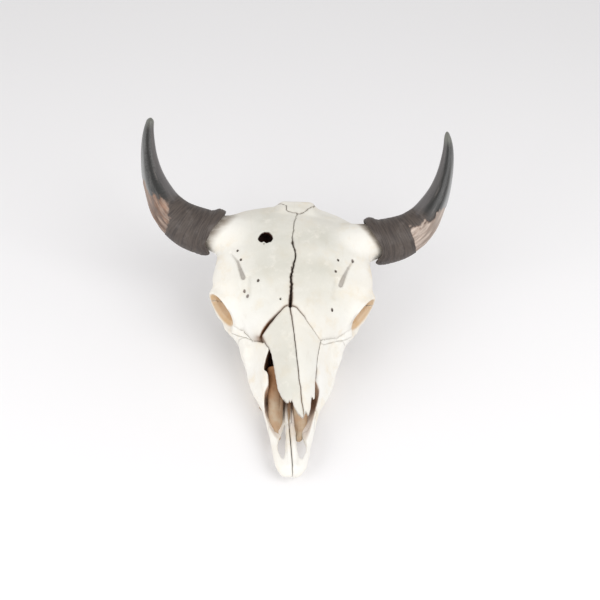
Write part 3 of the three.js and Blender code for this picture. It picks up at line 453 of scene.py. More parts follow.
def bone(px, y, z):
    x = np.abs(px)
    out, away = orbit_place(x, y, z)
    tilt = SHOULDER_TILT * px * mix(0, 1, (y - 430) / 60)
    d = join(muzzle(x, y, z), forehead(x, y, z + tilt), 14)
    d = join(d, hind_skull(x, y, z), 12)
    d = join(d, skull_base(x, y, z), 14)
    d = join(d, orbit_wall(out, away), 14)
    d = join(d, cheek_arch(x, y, z), 9)
    d = join(d, horn_neck(px, y, z), 16)
    mx, my, mz = CREST["middle"]
    d = join(d, block(px - mx, y - my, z - mz, *CREST["half"], CREST["corner"]), CREST["blend"])
    d = d + 0.7 * lattice_noise(px, y, z, 34, 11) + 0.3 * lattice_noise(px, y, z, 13, 12)
    d = carve(d, nose_channel(px, y, z), 3)
    bars, groove = median_bars(px, y, z)
    d = carve(join(d, bars, 3), groove, 0.8)
    d = join(d, nasal_shell(px, y, z), 1)
    d = carve(d, orbit_hollow(out, away), 4)
    d = carve(d, block(x, y - 357, z - 50, 18, 64, 30, 16), 6)
    canal = np.maximum(length(x, z - FORAMEN_MAGNUM["z"]) - FORAMEN_MAGNUM["radius"],
                       np.abs(y - FORAMEN_MAGNUM["y"]) - FORAMEN_MAGNUM["depth"])
    d = carve(d, canal, 5)
    for outline in (FISSURE_LEFT, FISSURE_RIGHT):
        fissure = np.maximum(polygon(outline, px, y), np.abs(z - 34) - 24)
        d = carve(d, fissure, 4)
    d = carve(d, brow_hollows(px, y, z), 5)
    d = carve(d, brow_grooves(px, y, z), 1.5)
    d = carve(d, small_holes(px, y, z), 1)
    opening = np.minimum(polygon(HOLE_OUTLINE, px, y), polygon(HOLE_CRACK, px, y))
    d = carve(d, np.maximum(opening + 1.2, np.abs(z - 222) - 16), 0.8)
    d = carve(d, frontal_sinus(px, y, z), 2)
    return common(common(d, -z, 1), TIP_Y - y, 2)


# Bones, in the order in which they are taken off the skull

def side_of_midline(side, x, y, z):
    crack = MIDLINE_CRACK(y) * np.clip(1 - (dorsal(x, y) - z) / CRACK_DEPTH, 0, 1) + SEAM
    crack = np.where(y < 272, NASAL_CRACK, crack)
    return side * (MIDLINE_DRIFT(y) - x) + crack / 2 - SEAM / 2


def premaxilla_region(side, x, y, z):
    return np.maximum(polygon(PREMAXILLA_SIDE, y, z), flank(side, x - PREMAXILLA_LINE(y), 0.3, 80))


def flank(side, x, low, high):
    return np.maximum(low - side * x, side * x - high)


def nasal_region(side, x, y, z):
    plan = np.maximum(polygon(NASALS_OUTLINE, x, y), side_of_midline(side, x, y, z))
    return np.maximum(plan, polygon(UNDER_NASALS, y, z))


def frontal_region(side, x, y, z):
    plan = np.maximum(polygon(FRONTALS_OUTLINE, x, y), side_of_midline(side, x, y, z))
    bone_part = np.maximum(plan, polygon(FRONTAL_SIDE, y, z))
    core_part = np.maximum(np.maximum(100 - side * x, 380 - y), 130 - z)
    return np.minimum(bone_part, core_part)


def beside(outline, low, high):
    def region(side, x, y, z):
        return np.maximum(polygon(outline, y, z), flank(side, x, low, high))
    return region


def across(outline, half):
    def region(side, x, y, z):
        return np.maximum(polygon(outline, y, z), np.abs(x) - half)
    return region


REGIONS = [(f"nasal_{word}", side, nasal_region) for word, side in SIDES]
REGIONS += [(f"frontal_{word}", side, frontal_region) for word, side in SIDES]
for word, side in SIDES:
    REGIONS += [
        (f"lacrimal_{word}", side, beside(LACRIMAL_SIDE, 50, 200)),
        (f"zygomatic_{word}", side, beside(ZYGOMATIC_SIDE, 82, 200)),
        (f"premaxilla_{word}", side, premaxilla_region),
        (f"temporal_{word}", side, beside(TEMPORAL_SIDE, 56, 200)),
    ]
REGIONS += [
    ("occipital", 0, across(OCCIPITAL_SIDE, 200)),
    ("parietal", 0, across(PARIETAL_SIDE, 200)),
    ("palatine", 0, across(PALATINE_SIDE, 34)),
]
REGIONS += [(f"maxilla_{word}", side, beside(MAXILLA_SIDE, SEAM / 2, 200)) for word, side in SIDES]


def wander(x, y, z):
    """Sutures are jagged, most of all down the forehead and behind it."""
    forehead_line = np.exp(-(((x - MIDLINE_DRIFT(y)) / 14) ** 2)) * mix(0, 1, (y - 284) / 20)
    behind = np.exp(-(((y - 500) / 26) ** 2)) * np.exp(-((x / 60) ** 2))
    reach = 0.35 + 1.1 * np.maximum(forehead_line, behind)
    fine = reach * lattice_noise(x, y, z, 4.6, 21)
    wide = 0.9 * lattice_noise(x, y, z, 17, 22)
    return x + fine + wide, y + reach * lattice_noise(x, y, z, 5.3, 23) + wide, z + 0.4 * fine + wide


def nasal_gap(x, y):
    """Open gap between the nasal and frontal bones, on the right side only."""
    return 5.5 * mix(0, 1, (-14 - x) / 40) * mix(0, 1, (y - 228) / 10)


def piece_field(name):
    """Distance function of one bone, and how far each point is inside its sutures."""
    def field(x, y, z):
        wx, wy, wz = wander(x, y, z)
        cut = np.full(x.shape, -1e3, np.float32)
        for other, side, region in REGIONS:
            value = region(side, wx, wy, wz)
            if other == name:
                cut = np.maximum(cut, value + SEAM / 2)
                break
            gap = nasal_gap(x, y) if other == "nasal_right" and name == "frontal_right" else 0
            cut = np.maximum(cut, SEAM / 2 + gap - value)
        return common(bone(x, y, z), cut, 0.8), cut
    return field


# Meshes

BLOCK = 8


def mesh_field(field, low, high, step):
    """Closed surface of a distance function inside a box: points, and faces of four corners."""
    low = np.array(low, float)
    count = np.ceil((np.array(high) - low) / (step * BLOCK)).astype(int) + 1
    places = np.stack(np.meshgrid(*(np.arange(n) for n in count), indexing="ij"), -1).reshape(-1, 3)
    centres = (low + (places + 0.5) * BLOCK * step).astype(np.float32)
    value = field(*centres.T)
    reach = 1.4 * (0.87 * BLOCK * step) + 2 * step
    size = count * BLOCK
    far = 5 * step
    dense = np.empty((count[0], BLOCK, count[1], BLOCK, count[2], BLOCK), np.float32)
    dense[:] = (np.sign(value) * far).reshape(count[0], 1, count[1], 1, count[2], 1)
    near = places[np.abs(value) < reach]
    inner = np.stack(np.meshgrid(*(np.arange(BLOCK),) * 3, indexing="ij"), -1).reshape(-1, 3)
    for start in range(0, len(near), 800):
        part = near[start:start + 800]
        index = (part[:, None, :] * BLOCK + inner[None]).reshape(-1, 3)
        spot = (low + index * step).astype(np.float32)
        found = field(*spot.T).reshape(-1, BLOCK, BLOCK, BLOCK)
        dense[part[:, 0], :, part[:, 1], :, part[:, 2], :] = np.clip(found, -far, far)
    grid = openvdb.FloatGrid(far)
    grid.copyFromArray(dense.reshape(size))
    points, quads = grid.convertToQuads(isovalue=0.0)
    return points.astype(np.float64) * step + low, quads.astype(np.int64)


def largest_island(points, quads):
    """The biggest connected part of a mesh."""
    label = np.arange(len(points))
    ends = np.concatenate([quads[:, (a, (a + 1) % 4)] for a in range(4)])
    while True:
        low = np.minimum(label[ends[:, 0]], label[ends[:, 1]])
        found = label.copy()
        np.minimum.at(found, label[ends[:, 0]], low)
        np.minimum.at(found, label[ends[:, 1]], low)
        found = found[found]
        if np.array_equal(found, label):
            break
        label = found
    keep = label == np.bincount(label[quads[:, 0]], minlength=len(points)).argmax()
    number = np.cumsum(keep) - 1
    return points[keep], number[quads[keep[quads[:, 0]]]]


def outward(points, quads):
    a, b, c, d = (points[quads[:, i]] for i in range(4))
    volume = np.einsum("ij,ij->i", a, np.cross(b, c)).sum() + np.einsum("ij,ij->i", a, np.cross(c, d)).sum()
    return quads if volume > 0 else quads[:, ::-1]


def add_marks(mesh, marks):
    """Store numbers or directions on the points of a mesh, for the materials to read."""
    for mark, values in marks.items():
        values = np.asarray(values, np.float32)
        kind, key = ("FLOAT", "value") if values.ndim == 1 else ("FLOAT_VECTOR", "vector")
        mesh.attributes.new(mark, kind, "POINT").data.foreach_set(key, values.ravel())


def make_object(name, points, faces, marks):
    """Mesh object from points in skull millimetres and faces of four corners, with marks on its points."""
    mesh = bpy.data.meshes.new(name)
    mesh.vertices.add(len(points))
    mesh.vertices.foreach_set("co", to_frame(points).astype(np.float32).ravel())
    mesh.loops.add(faces.size)
    mesh.loops.foreach_set("vertex_index", faces.astype(np.int32).ravel())
    mesh.polygons.add(len(faces))
    mesh.polygons.foreach_set("loop_start", np.arange(0, faces.size, faces.shape[1], dtype=np.int32))
    mesh.update(calc_edges=True)
    mesh.validate()
    mesh.polygons.foreach_set("use_smooth", np.ones(len(mesh.polygons), bool))
    add_marks(mesh, marks)
    piece = bpy.data.objects.new(name, mesh)
    bpy.context.scene.collection.objects.link(piece)
    return piece


def to_frame(points):
    return (np.asarray(points, float) - frame_origin()) / 1000


def frame_origin():
    """Where the frame's origin lies in the skull's millimetres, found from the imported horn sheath."""
    rings, sides = HORN["rings"] + 1, HORN["sides"]
    outer, _ = horn_rings(1, np.linspace(0, 1, rings), sides, np.zeros((rings, sides)))
    reach = outer.reshape(-1, 3).max(0) - np.array(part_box("horn_sheath_left")[1]) * 1000
    return np.array((reach[0], reach[1], 0.0))


# Horn sheaths

def along_path(side, share):
    """Centripetal spline through the corners of the horn's middle line, at equal steps of its length."""
    corners = np.array([horn_place(side, out, up) for out, up in HORN_LINE])
    padded = np.vstack([2 * corners[0] - corners[1], corners, 2 * corners[-1] - corners[-2]])
    fine = []
    for i in range(1, len(padded) - 2):
        p = padded[i - 1:i + 3]
        knots = np.concatenate([[0], np.cumsum(np.sqrt(np.linalg.norm(np.diff(p, axis=0), axis=1)))])
        t = np.linspace(knots[1], knots[2], 40, endpoint=False)[:, None]
        a = [(knots[k + 1] - t) / (knots[k + 1] - knots[k]) * p[k]
             + (t - knots[k]) / (knots[k + 1] - knots[k]) * p[k + 1] for k in range(3)]
        b = [(knots[k + 2] - t) / (knots[k + 2] - knots[k]) * a[k]
             + (t - knots[k]) / (knots[k + 2] - knots[k]) * a[k + 1] for k in range(2)]
        fine.append((knots[2] - t) / (knots[2] - knots[1]) * b[0]
                    + (t - knots[1]) / (knots[2] - knots[1]) * b[1])
    fine = np.vstack(fine + [corners[-1:]])
    steps = np.concatenate([[0], np.cumsum(np.linalg.norm(np.diff(fine, axis=0), axis=1))])
    at = np.clip(share, 0, 1) * steps[-1]
    middle = np.stack([np.interp(at, steps, fine[:, i]) for i in range(3)], -1)
    ahead = np.stack([np.interp(at + 2, steps, fine[:, i]) for i in range(3)], -1)
    behind = np.stack([np.interp(at - 2, steps, fine[:, i]) for i in range(3)], -1)
    direction = ahead - behind
    direction /= np.linalg.norm(direction, axis=1)[:, None]
    beyond = np.minimum(share, 0) + np.maximum(share - 1, 0)
    middle = middle + direction * (beyond * steps[-1])[:, None]
    return middle, direction, steps[-1]


def horn_rings(side, share, sides, inset):
    """Points on rings along a horn, thinner than its outside by inset, and the angle of each point."""
    middle, direction, _ = along_path(side, share)
    rise = math.radians(HORN["rise"])
    face = np.array([0, -math.sin(rise), math.cos(rise)])
    up = np.cross(face, direction)
    up /= np.linalg.norm(up, axis=1)[:, None]
    angle = np.linspace(0, 2 * math.pi, sides, endpoint=False)
    radius = np.maximum(HORN["radius"] * HORN_TAPER(np.maximum(share, 0))[:, None] - inset, 0.8)
    lean = (MOUTH["behind"] - MOUTH["front"]) / 2
    saddle = (MOUTH["behind"] + MOUTH["front"]) / 2 - MOUTH["face"]
    lip = MOUTH["face"] + lean * np.sin(angle) + saddle * np.sin(angle) ** 2
    lip = lip + 1.2 * lattice_noise(30 * np.cos(angle), 0 * angle, 30 * np.sin(angle), 13, 45 + side)
    for at, wide, ahead in MOUTH["waves"]:
        away = np.angle(np.exp(1j * (angle - math.radians(at))))
        lip = lip + ahead * np.exp(-((away / math.radians(wide)) ** 2))
    bend = np.maximum(1 - share / 0.35, 0)[:, None] ** 2 * lip[None]
    points = (middle[:, None] + face * (radius * np.cos(angle))[..., None]
              + up[:, None] * (radius * np.sin(angle))[..., None] + direction[:, None] * bend[..., None])
    return points * (side, 1, 1), angle


def ring_faces(rings, sides, start=0, closed_loop=False):
    r = np.arange(rings - (0 if closed_loop else 1))
    s = np.arange(sides)
    a = (r[:, None] * sides + s[None]).ravel()
    b = (r[:, None] * sides + ((s + 1) % sides)[None]).ravel()
    next_row = ((r + 1) % rings)[:, None] * sides
    c = (next_row + ((s + 1) % sides)[None]).ravel()
    d = (next_row + s[None]).ravel()
    return np.stack([a, b, c, d], -1) + start


def sheath_piece(side):
    """Sheath of horn, hollow for part of its length: points, faces of four corners, end fans and marks."""
    sides, rings = ((144, 380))
    t = np.linspace(0, 1, rings)
    reach = along_path(side, t[:1])[2]
    extra, cap = TIP_CAP[side]
    share = t * (0.45 + 0.55 * t) * (1 + extra / reach)
    angle = np.linspace(0, 2 * math.pi, sides, endpoint=False)
    a, s = np.meshgrid(angle, share)
    along = s * reach
    cx, cz = 30 * np.cos(a), 30 * np.sin(a)
    peel = peel_mask(side, a, s, cx, along, cz)
    grooves = ring_grooves(side, along, cx, cz)
    ringed = np.clip(1.25 - s / 0.17, 0.16, 1) * smooth_step(0.4, 0.22, s) * (1 - 0.7 * peel)
    ringed *= 0.7 + 0.5 * lattice_noise(cx, along, cz, 15, 47 + side)
    rough = lattice_noise(cx, along, cz, 2.6, 35 + side)
    inset = ringed * (0.8 - 0.8 * grooves + 0.35 * rough) + 0.25
    inset += peel * (1.1 + 0.6 * lattice_noise(cx, along * 0.3, cz, 4, 37))
    inset += 0.35 * (1 + lattice_noise(cx, along, cz, 16, 39)) * (1 - s)
    top = np.clip(np.sin(a), 0, 1)
    inset -= np.exp(-((along - 6) / 9) ** 2) * (0.8 + 4.6 * top ** 2)
    rounding = 1 - np.sqrt(np.clip(1 - (np.maximum(along - reach - extra + cap, 0) / cap) ** 2, 0, 1))
    inset += rounding * HORN["radius"] * HORN_TAPER(s)
    outer, _ = horn_rings(side, share, sides, inset)
    inner_rings = rings // 4
    inner_share = np.linspace(HORN["hollow_share"], 0, inner_rings)
    inner, _ = horn_rings(side, inner_share, sides, np.full((inner_rings, sides), HORN["wall"]))
    turn = np.linspace(0, math.pi, 9)[1:-1]
    middle, half = (HORN["wall"] + inset[:1]) / 2, (HORN["wall"] - inset[:1]) / 2
    rim_share = -2.6 * np.sin(turn) / reach
    rim, _ = horn_rings(side, rim_share, sides, middle + half * np.cos(turn)[:, None])
    points = np.concatenate([inner, rim, outer]).reshape(-1, 3)
    total = inner_rings + len(turn) + rings
    faces = ring_faces(total, sides)
    points = np.vstack([points, points[:sides].mean(0), points[-sides:].mean(0)])
    rows = np.arange(sides)
    after = (rows + 1) % sides
    first = np.stack([np.full(sides, len(points) - 2), after, rows], -1)
    last = np.stack([np.full(sides, len(points) - 1), (total - 1) * sides + rows,
                     (total - 1) * sides + after], -1)
    every_share = np.concatenate([inner_share, rim_share, share])
    grid_share = np.repeat(every_share, sides)
    grid_angle = np.tile(angle, total)
    inside = (inner_rings + len(turn)) * sides
    ends = [HORN["hollow_share"], 1]

    def outside(values, last_value=0.0):
        return np.concatenate([np.zeros(inside), values.ravel(), [0, last_value]])

    # Painted shade: the inside of the sheath and the inner part of its lip are marked to take a near-black
    # colour, where shade falls in the gap at the mouth.
    hollow = np.concatenate([np.full(inner_rings, 1.0), smooth_step(1.4, 0.2, turn), np.zeros(rings)])
    marks = {
        "along": np.concatenate([grid_share, ends]),
        "turned": np.concatenate([-np.sin(grid_angle), [0, 0]]),
        "peel": outside(peel),
        "pale": outside(peel * (side == 1)),
        "ringed": outside(ringed * (0.5 - 0.5 * grooves)),
        "hollow": np.concatenate([np.repeat(hollow, sides), [1, 0]]),
        "grain": np.vstack([np.stack([0.03 * np.cos(grid_angle), grid_share * reach / 1000,
                                      0.03 * np.sin(grid_angle)], -1),
                            [[0, end * reach / 1000, 0] for end in ends]]),
    }
    return points, faces, np.vstack([first, last]), marks


def ring_grooves(side, along, cx, cz):
    """Growth rings of the horn, from -1 in a fissure to 1 on a ridge: fine ones, and a few deeper steps."""
    warp = (2.6 * lattice_noise(cx, along, cz, 24, 31 + side)
            + 1.2 * lattice_noise(cx, along, cz, 8, 33 + side))
    fine = np.sin((along + warp) * (2 * math.pi / 3.6))
    coarse = np.sin((along + 1.7 * warp) * (2 * math.pi / 9.7) + 1)
    step = 1 - 2 * np.exp(-((np.mod(along + 1.5 * warp, 17.5) - 6) / 1.1) ** 2)
    return np.clip(0.3 * fine + 0.35 * coarse + 0.45 * step, -1, 1)


PEEL_EDGE = {
    -1: curve([(0.25, -150), (0.28, -30), (0.33, 5), (0.4, 22), (0.45, 5), (0.52, -32), (0.6, -60),
               (0.66, -150)]),
    1: curve([(0.225, -150), (0.24, -40), (0.25, 0), (0.27, 22), (0.31, 15), (0.38, 0), (0.46, -20),
              (0.53, -50), (0.56, -150)]),
}


def peel_mask(side, a, s, cx, along, cz):
    """Where the outer layer of horn has flaked off: the lower and outer curve of the middle third."""
    ragged = (13 * lattice_noise(cx, along * 0.4, cz, 6, 41 + side)
              + 8 * lattice_noise(cx, along * 0.5, cz, 2.4, 43))
    turn = np.degrees(np.angle(np.exp(1j * a)))
    front = PEEL_EDGE[side](s) + ragged - turn
    behind = turn + 160 + ragged
    return np.clip(np.minimum(front, behind) / 11, 0, 1)


# Teeth

TOOTH_START = 166
TEETH = [(17, 17, 1), (19, 19, 1), (18, 21, 1), (26, 24, 2), (30, 26, 2), (32, 25, 2)]


def tooth_row(x, y, z):
    """Cheek teeth of one side: crowns of one or two pillars with worn faces and valleys between the folds."""
    d = np.full(x.shape, 1e3, np.float32)
    start = TOOTH_START
    for number, (tooth_length, width, lobes) in enumerate(TEETH):
        middle = start + tooth_length / 2
        cx = x - float(TOOTH_LINE(middle))
        lobe_length = tooth_length / lobes
        for lobe in range(lobes):
            cy = y - (start + (lobe + 0.5) * lobe_length)
            outer = length((cx + 1) / (width / 2), cy / (lobe_length * 0.56))
            pillar = (outer - 1) * (lobe_length * 0.5)
            ridge = length(cx - width * 0.43, cy) - 2.1
            pillar = join(pillar, ridge, 2)
            valley = np.abs(length((cx + 0.5) / (width * 0.26), cy / (lobe_length * 0.30)) - 1) * 4 - 0.75
            pillar = carve(pillar, np.maximum(valley, z - 2.4), 0.5)
            worn = 0.9 * np.sin(cx * 0.55 + number) * np.cos(cy * 0.5)
            crown = common(pillar, common(0.1 + 0.45 * (1 + worn) - z, z - 26, 1), 1)
            d = join(d, crown, 1)
        start += tooth_length - 0.4
    return common(d, 0.05 - z, 0.4)


# Scrolls of thin bone inside the nose

def nose_scroll(side):
    def field(x, y, z):
        """Long roll of thin bone that slopes from the side wall of the nose down to its floor."""
        spine = [((-NOSE_OFFSET + side * 20, 82, 33), 7), ((-NOSE_OFFSET + side * 23, 112, 37), 13),
                 ((-NOSE_OFFSET + side * 24, 197, 91), 17)]
        rolled = 1e3
        for (a, ra), (b, rb) in zip(spine, spine[1:]):
            rolled = join(rolled, rod(x, y, z, a, b, ra, rb), 4)
        rolled += 0.7 * lattice_noise(x, y * 0.4, z, 7, 51) + 0.3 * lattice_noise(x, y, z, 4, 52)
        groove = length(x - (-NOSE_OFFSET + side * 15), z - (43 + 0.56 * (y - 94))) - 1.6
        ends = np.maximum(74 - y, y - 196 + 0.25 * (z - 86))
        return common(carve(rolled, groove, 2), ends, 2)
    return field


def nose_septum(x, y, z):
    """Thin upright blade on the floor of the nose, grooved along its top."""
    mx = -3.5 - 0.02 * (y - 100)
    top = 47 + 0.25 * np.clip(y - 96, 0, 60)
    blade = np.abs(x - mx) - 2.0 - 1.6 * np.clip((top - z) / 20, 0, 1)
    groove = np.maximum(np.abs(x - mx) - 0.7, top - 3 - z)
    d = common(blade, common(z - top, 38 - z, 1), 1.5)
    return common(carve(d, groove, 0.8), common(88 - y, y - 236, 4), 2)


# Marks that the bone's colours follow

def smooth_step(low, high, value):
    t = np.clip((value - low) / (high - low), 0, 1)
    return t * t * (3 - 2 * t)


def bone_marks(points, cut):
    x, y, z = points.astype(np.float32).T
    off = np.abs(x)
    out, away = orbit_place(off, y, z)
    socket = smooth_step(2.5, -1, orbit_hollow(out, away)) * smooth_step(5, 1, out)
    beside_line = x - PREMAXILLA_LINE(y)
    in_nose = (smooth_step(2.5, 0.2, nose_channel(x, y, z))
               * smooth_step(2.5, 7, dorsal(x - MIDLINE_DRIFT(y), y) - z))
    bar = smooth_step(14, 10, np.abs(beside_line)) * smooth_step(180, 130, y) * smooth_step(60, 54, z)
    bar *= np.where(beside_line < 0, 0.9, 0.35)
    stain = np.where(x > 0, 0.38, 0.3) * smooth_step(40, 90, y)
    nose = in_nose * (stain + (1 - stain) * smooth_step(105, 172, y)) * (1 - bar)
    wide = lattice_noise(x, y, z, 40, 61)
    top = smooth_step(14, 3, dorsal(off, y) - z)
    middle = np.exp(-((off / 105) ** 4) - ((y - 390) / 120) ** 4)
    # Painted shade: the sinus under the hole and the wall of the hole are marked to take a near-black colour
    # where shade falls.
    sinus_shade = smooth_step(3, 1, frontal_sinus(x, y, z)) * (z < 219)
    opening = np.minimum(polygon(HOLE_OUTLINE, x, y), polygon(HOLE_CRACK, x, y))
    hole_wall_shade = smooth_step(1.6, 0.4, opening) * smooth_step(1.0, 2.6, dorsal(x, y) - z) * (z > 190)
    below_top = dorsal(x, y) - z
    on_nasal = smooth_step(1, -3, polygon(NASALS_OUTLINE, x, y)) * (below_top < 12)
    on_nasal *= 0.35 + 0.5 * smooth_step(2, -2, x - MIDLINE_DRIFT(y))
    # Painted shade in the brow grooves and the small holes.
    pits = 0.6 * smooth_step(1.0, -0.6, brow_grooves(x, y, z)) * smooth_step(2.0, 5.0, below_top)
    pits = pits + 0.8 * smooth_step(0.8, -0.2, small_holes(x, y, z)) * smooth_step(0.6, 2.2, below_top)
    near_root = np.exp(-((x + 12) / 40) ** 2 - ((y - 280) / 38) ** 2)
    right_root = np.exp(-((x + 48) / 18) ** 2 - ((y - 243) / 15) ** 2)
    seam = np.exp(np.minimum(cut, 0) / 0.7)
    return {
        "tan": socket,
        "nose": nose,
        # Painted shade: near-black in the back of the nose, the sinus, the hole's wall, the grooves and the
        # small holes.
        "painted_shade": np.clip(0.75 * in_nose * smooth_step(178, 212, y) + sinus_shade + hole_wall_shade + pits, 0, 1),
        "grey": np.clip(np.maximum(middle * top, on_nasal) * (0.85 + 0.3 * wide), 0, 1),
        "seam": seam * seam_weight(x, y, z) * (1 - socket),
        "rust": np.clip(seam ** 0.6 * (0.8 * near_root + 1.4 * right_root), 0, 1),
        "belly": smooth_step(60, 30, z) * smooth_step(120, 200, y),
        # Grey-brown band beside each sheath, partly stain and partly painted shadow.
        "sheath_lip_stain_and_shadow": neck_stain_and_shadow(x, y, z),
    }


def seam_weight(x, y, z):
    """Sutures are open and dark down the middle and across the back of the forehead, faint on the cheeks."""
    near = smooth_step(14, 8, np.abs(x - MIDLINE_DRIFT(y)))
    middle = near * np.maximum((z > 70) * smooth_step(425, 400, y) ** 0.5, 0.5 * (y > 400))
    nasal = smooth_step(7, 3, np.abs(polygon(NASALS_OUTLINE, x, y))) * (z > 90)
    nasal *= np.where(x > 22, 0.25, 0.75)
    behind = smooth_step(474, 482, y) * smooth_step(48, 40, np.abs(x)) * (z > 190)
    return np.maximum(np.maximum(middle, nasal), np.maximum(behind, 0.2))


def neck_stain_and_shadow(x, y, z):
    """Grey-brown band on the bone just outside the mouth of each sheath: partly stain, partly painted shadow
    under the sheath's lip.
    """
    amount = 0
    for side in (1, -1):
        foot = np.array(horn_place(side, 0, 0))
        ahead = np.array(horn_place(side, *HORN_LINE[1])) - foot
        ahead /= np.linalg.norm(ahead)
        rise = math.radians(HORN["rise"])
        face = np.array([0, -math.sin(rise), math.cos(rise)])
        up = np.cross(face, ahead)
        place = np.stack([side * x, y, z], -1) - foot
        height = place @ up
        sine = height / np.maximum(length(height, place @ face), 1)
        lean = (MOUTH["behind"] - MOUTH["front"]) / 2
        saddle = (MOUTH["behind"] + MOUTH["front"]) / 2 - MOUTH["face"]
        rim = MOUTH["face"] + lean * sine + saddle * sine ** 2
        amount = amount + smooth_step(-NECK_STAIN_AND_SHADOW_WIDTH[side], -2, place @ ahead - rim) * (side * x > 90)
    return np.clip(amount, 0, 1)


# Materials

class Shader:
    """Small helper that adds linked nodes to a new material."""

    def __init__(self, name):
        self.material = bpy.data.materials.new(name)
        self.material.use_nodes = True
        self.tree = self.material.node_tree
        self.surface = self.tree.nodes["Principled BSDF"]
        place = self.add("ShaderNodeTexCoord")
        self.place = place.outputs["Object"]

    def add(self, kind, **values):
        node = self.tree.nodes.new(kind)
        for key, value in values.items():
            setattr(node, key, value)
        return node

    def link(self, source, target):
        self.tree.links.new(source, target)

    def mark(self, name):
        return self.add("ShaderNodeAttribute", attribute_name=name).outputs["Fac"]

    def patchy(self, mark, noise, low, high, to_low, to_high):
        """A mark of the mesh, broken up by noise."""
        return self.math("MULTIPLY", self.mark(mark), self.span(noise, low, high, to_low, to_high))

    def follow(self, name):
        """Lay the noise that comes next along the directions held in a mark."""
        self.place = self.add("ShaderNodeAttribute", attribute_name=name).outputs["Vector"]

    def noise(self, scale, detail=4.0, roughness=0.55, stretch=None):
        node = self.add("ShaderNodeTexNoise")
        node.inputs["Scale"].default_value = scale
        node.inputs["Detail"].default_value = detail
        node.inputs["Roughness"].default_value = roughness
        self.link(self.stretched(stretch), node.inputs["Vector"])
        return node.outputs["Fac"]

    def cells(self, scale):
        node = self.add("ShaderNodeTexVoronoi")
        node.inputs["Scale"].default_value = scale
        self.link(self.place, node.inputs["Vector"])
        return node.outputs["Distance"]

    def stretched(self, stretch):
        if stretch is None:
            return self.place
        node = self.add("ShaderNodeMapping")
        node.inputs["Scale"].default_value = stretch
        self.link(self.place, node.inputs["Vector"])
        return node.outputs["Vector"]

    def span(self, source, low, high, to_low=0.0, to_high=1.0):
        node = self.add("ShaderNodeMapRange", interpolation_type="SMOOTHSTEP")
        for key, value in (("From Min", low), ("From Max", high), ("To Min", to_low), ("To Max", to_high)):
            node.inputs[key].default_value = value
        self.link(source, node.inputs["Value"])
        return node.outputs["Result"]

    def math(self, operation, a, b=None, value=0.5):
        node = self.add("ShaderNodeMath", operation=operation, use_clamp=False)
        self.link(a, node.inputs[0])
        if b is None:
            node.inputs[1].default_value = value
        else:
            self.link(b, node.inputs[1])
        return node.outputs[0]

    def tint(self, share, under, over, mode="MIX"):
        """Colour mixed by share. under and over are colours or the output of another node."""
        node = self.add("ShaderNodeMix", data_type="RGBA", blend_type=mode)
        for socket, colour in ((node.inputs[6], under), (node.inputs[7], over)):
            if isinstance(colour, bpy.types.NodeSocket):
                self.link(colour, socket)
            else:
                socket.default_value = (*colour, 1)
        self.link(share, node.inputs[0])
        return node.outputs[2]

    def bump(self, height, distance, strength, after=None):
        node = self.add("ShaderNodeBump")
        node.inputs["Strength"].default_value = strength
        node.inputs["Distance"].default_value = distance
        self.link(height, node.inputs["Height"])
        if after is not None:
            self.link(after, node.inputs["Normal"])
        return node.outputs["Normal"]


def bone_material(name, colours):
    s = Shader(name)
    wide = s.span(s.noise(9, 3), 0.35, 0.7)
    colour = s.tint(wide, colours.cream, colours.ivory)
    patches = s.span(s.noise(30, 5, 0.6), 0.48, 0.75, 0, 0.55)
    colour = s.tint(patches, colour, colours.warm)
    grey = s.patchy("grey", s.noise(16, 4), 0.2, 0.75, 0.65, 1.0)
    colour = s.tint(grey, colour, colours.grey)
    bleached = s.patchy("grey", s.noise(55, 5, 0.65), 0.5, 0.72, 0.0, 0.55)
    colour = s.tint(bleached, colour, colours.cream)
    specks = s.span(s.cells(420), 0.0, 0.16, 0.3, 0.0)
    colour = s.tint(specks, colour, colours.pore)
    streaks = s.span(s.noise(70, 5, 0.6, (1.0, 0.16, 1.0)), 0.56, 0.8, 0, 0.2)
    colour = s.tint(streaks, colour, colours.pore)
    belly = s.patchy("belly", s.noise(28, 5), 0.3, 0.7, 0.1, 0.6)
    colour = s.tint(belly, colour, colours.warm)
    # Partly stain and partly painted shadow under the lip of each sheath.
    sheath_lip_stain_and_shadow = s.patchy("sheath_lip_stain_and_shadow", s.noise(60, 5, 0.65, (0.3, 1.0, 1.0)), 0.3, 0.6, 0.4, 0.95)
    colour = s.tint(sheath_lip_stain_and_shadow, colour, colours.sheath_lip_stain_and_shadow)
    tan = s.patchy("tan", s.noise(30, 5), 0.2, 0.7, 0.75, 1.0)
    colour = s.tint(tan, colour, colours.socket)
    nose = s.patchy("nose", s.noise(24, 4), 0.25, 0.7, 0.7, 1.0)
    colour = s.tint(nose, colour, colours.nose)
    colour = s.tint(s.mark("rust"), colour, colours.rust)
    seam = s.patchy("seam", s.noise(60, 3), 0.3, 0.6, 0.55, 0.95)
    colour = s.tint(seam, colour, colours.suture)
    # Painted shade: the marked hollows are tinted near-black.
    colour = s.tint(s.mark("painted_shade"), colour, colours.painted_shade)
    s.link(colour, s.surface.inputs["Base Color"])
    s.link(s.span(s.noise(45, 4), 0.3, 0.7, 0.52, 0.72), s.surface.inputs["Roughness"])
    s.surface.inputs["Specular IOR Level"].default_value = 0.35
    grain = s.bump(s.noise(900, 3, 0.6), 0.0004, 0.25)
    pits = s.bump(s.span(s.cells(420), 0.0, 0.2), 0.0005, 0.3, grain)
    fibres = s.bump(s.noise(160, 5, 0.6, (1.0, 0.14, 1.0)), 0.0009, 0.25, pits)
    lumps = s.bump(s.noise(60, 4, 0.55), 0.0022, 0.3, fibres)
    s.link(lumps, s.surface.inputs["Normal"])
    return s.material


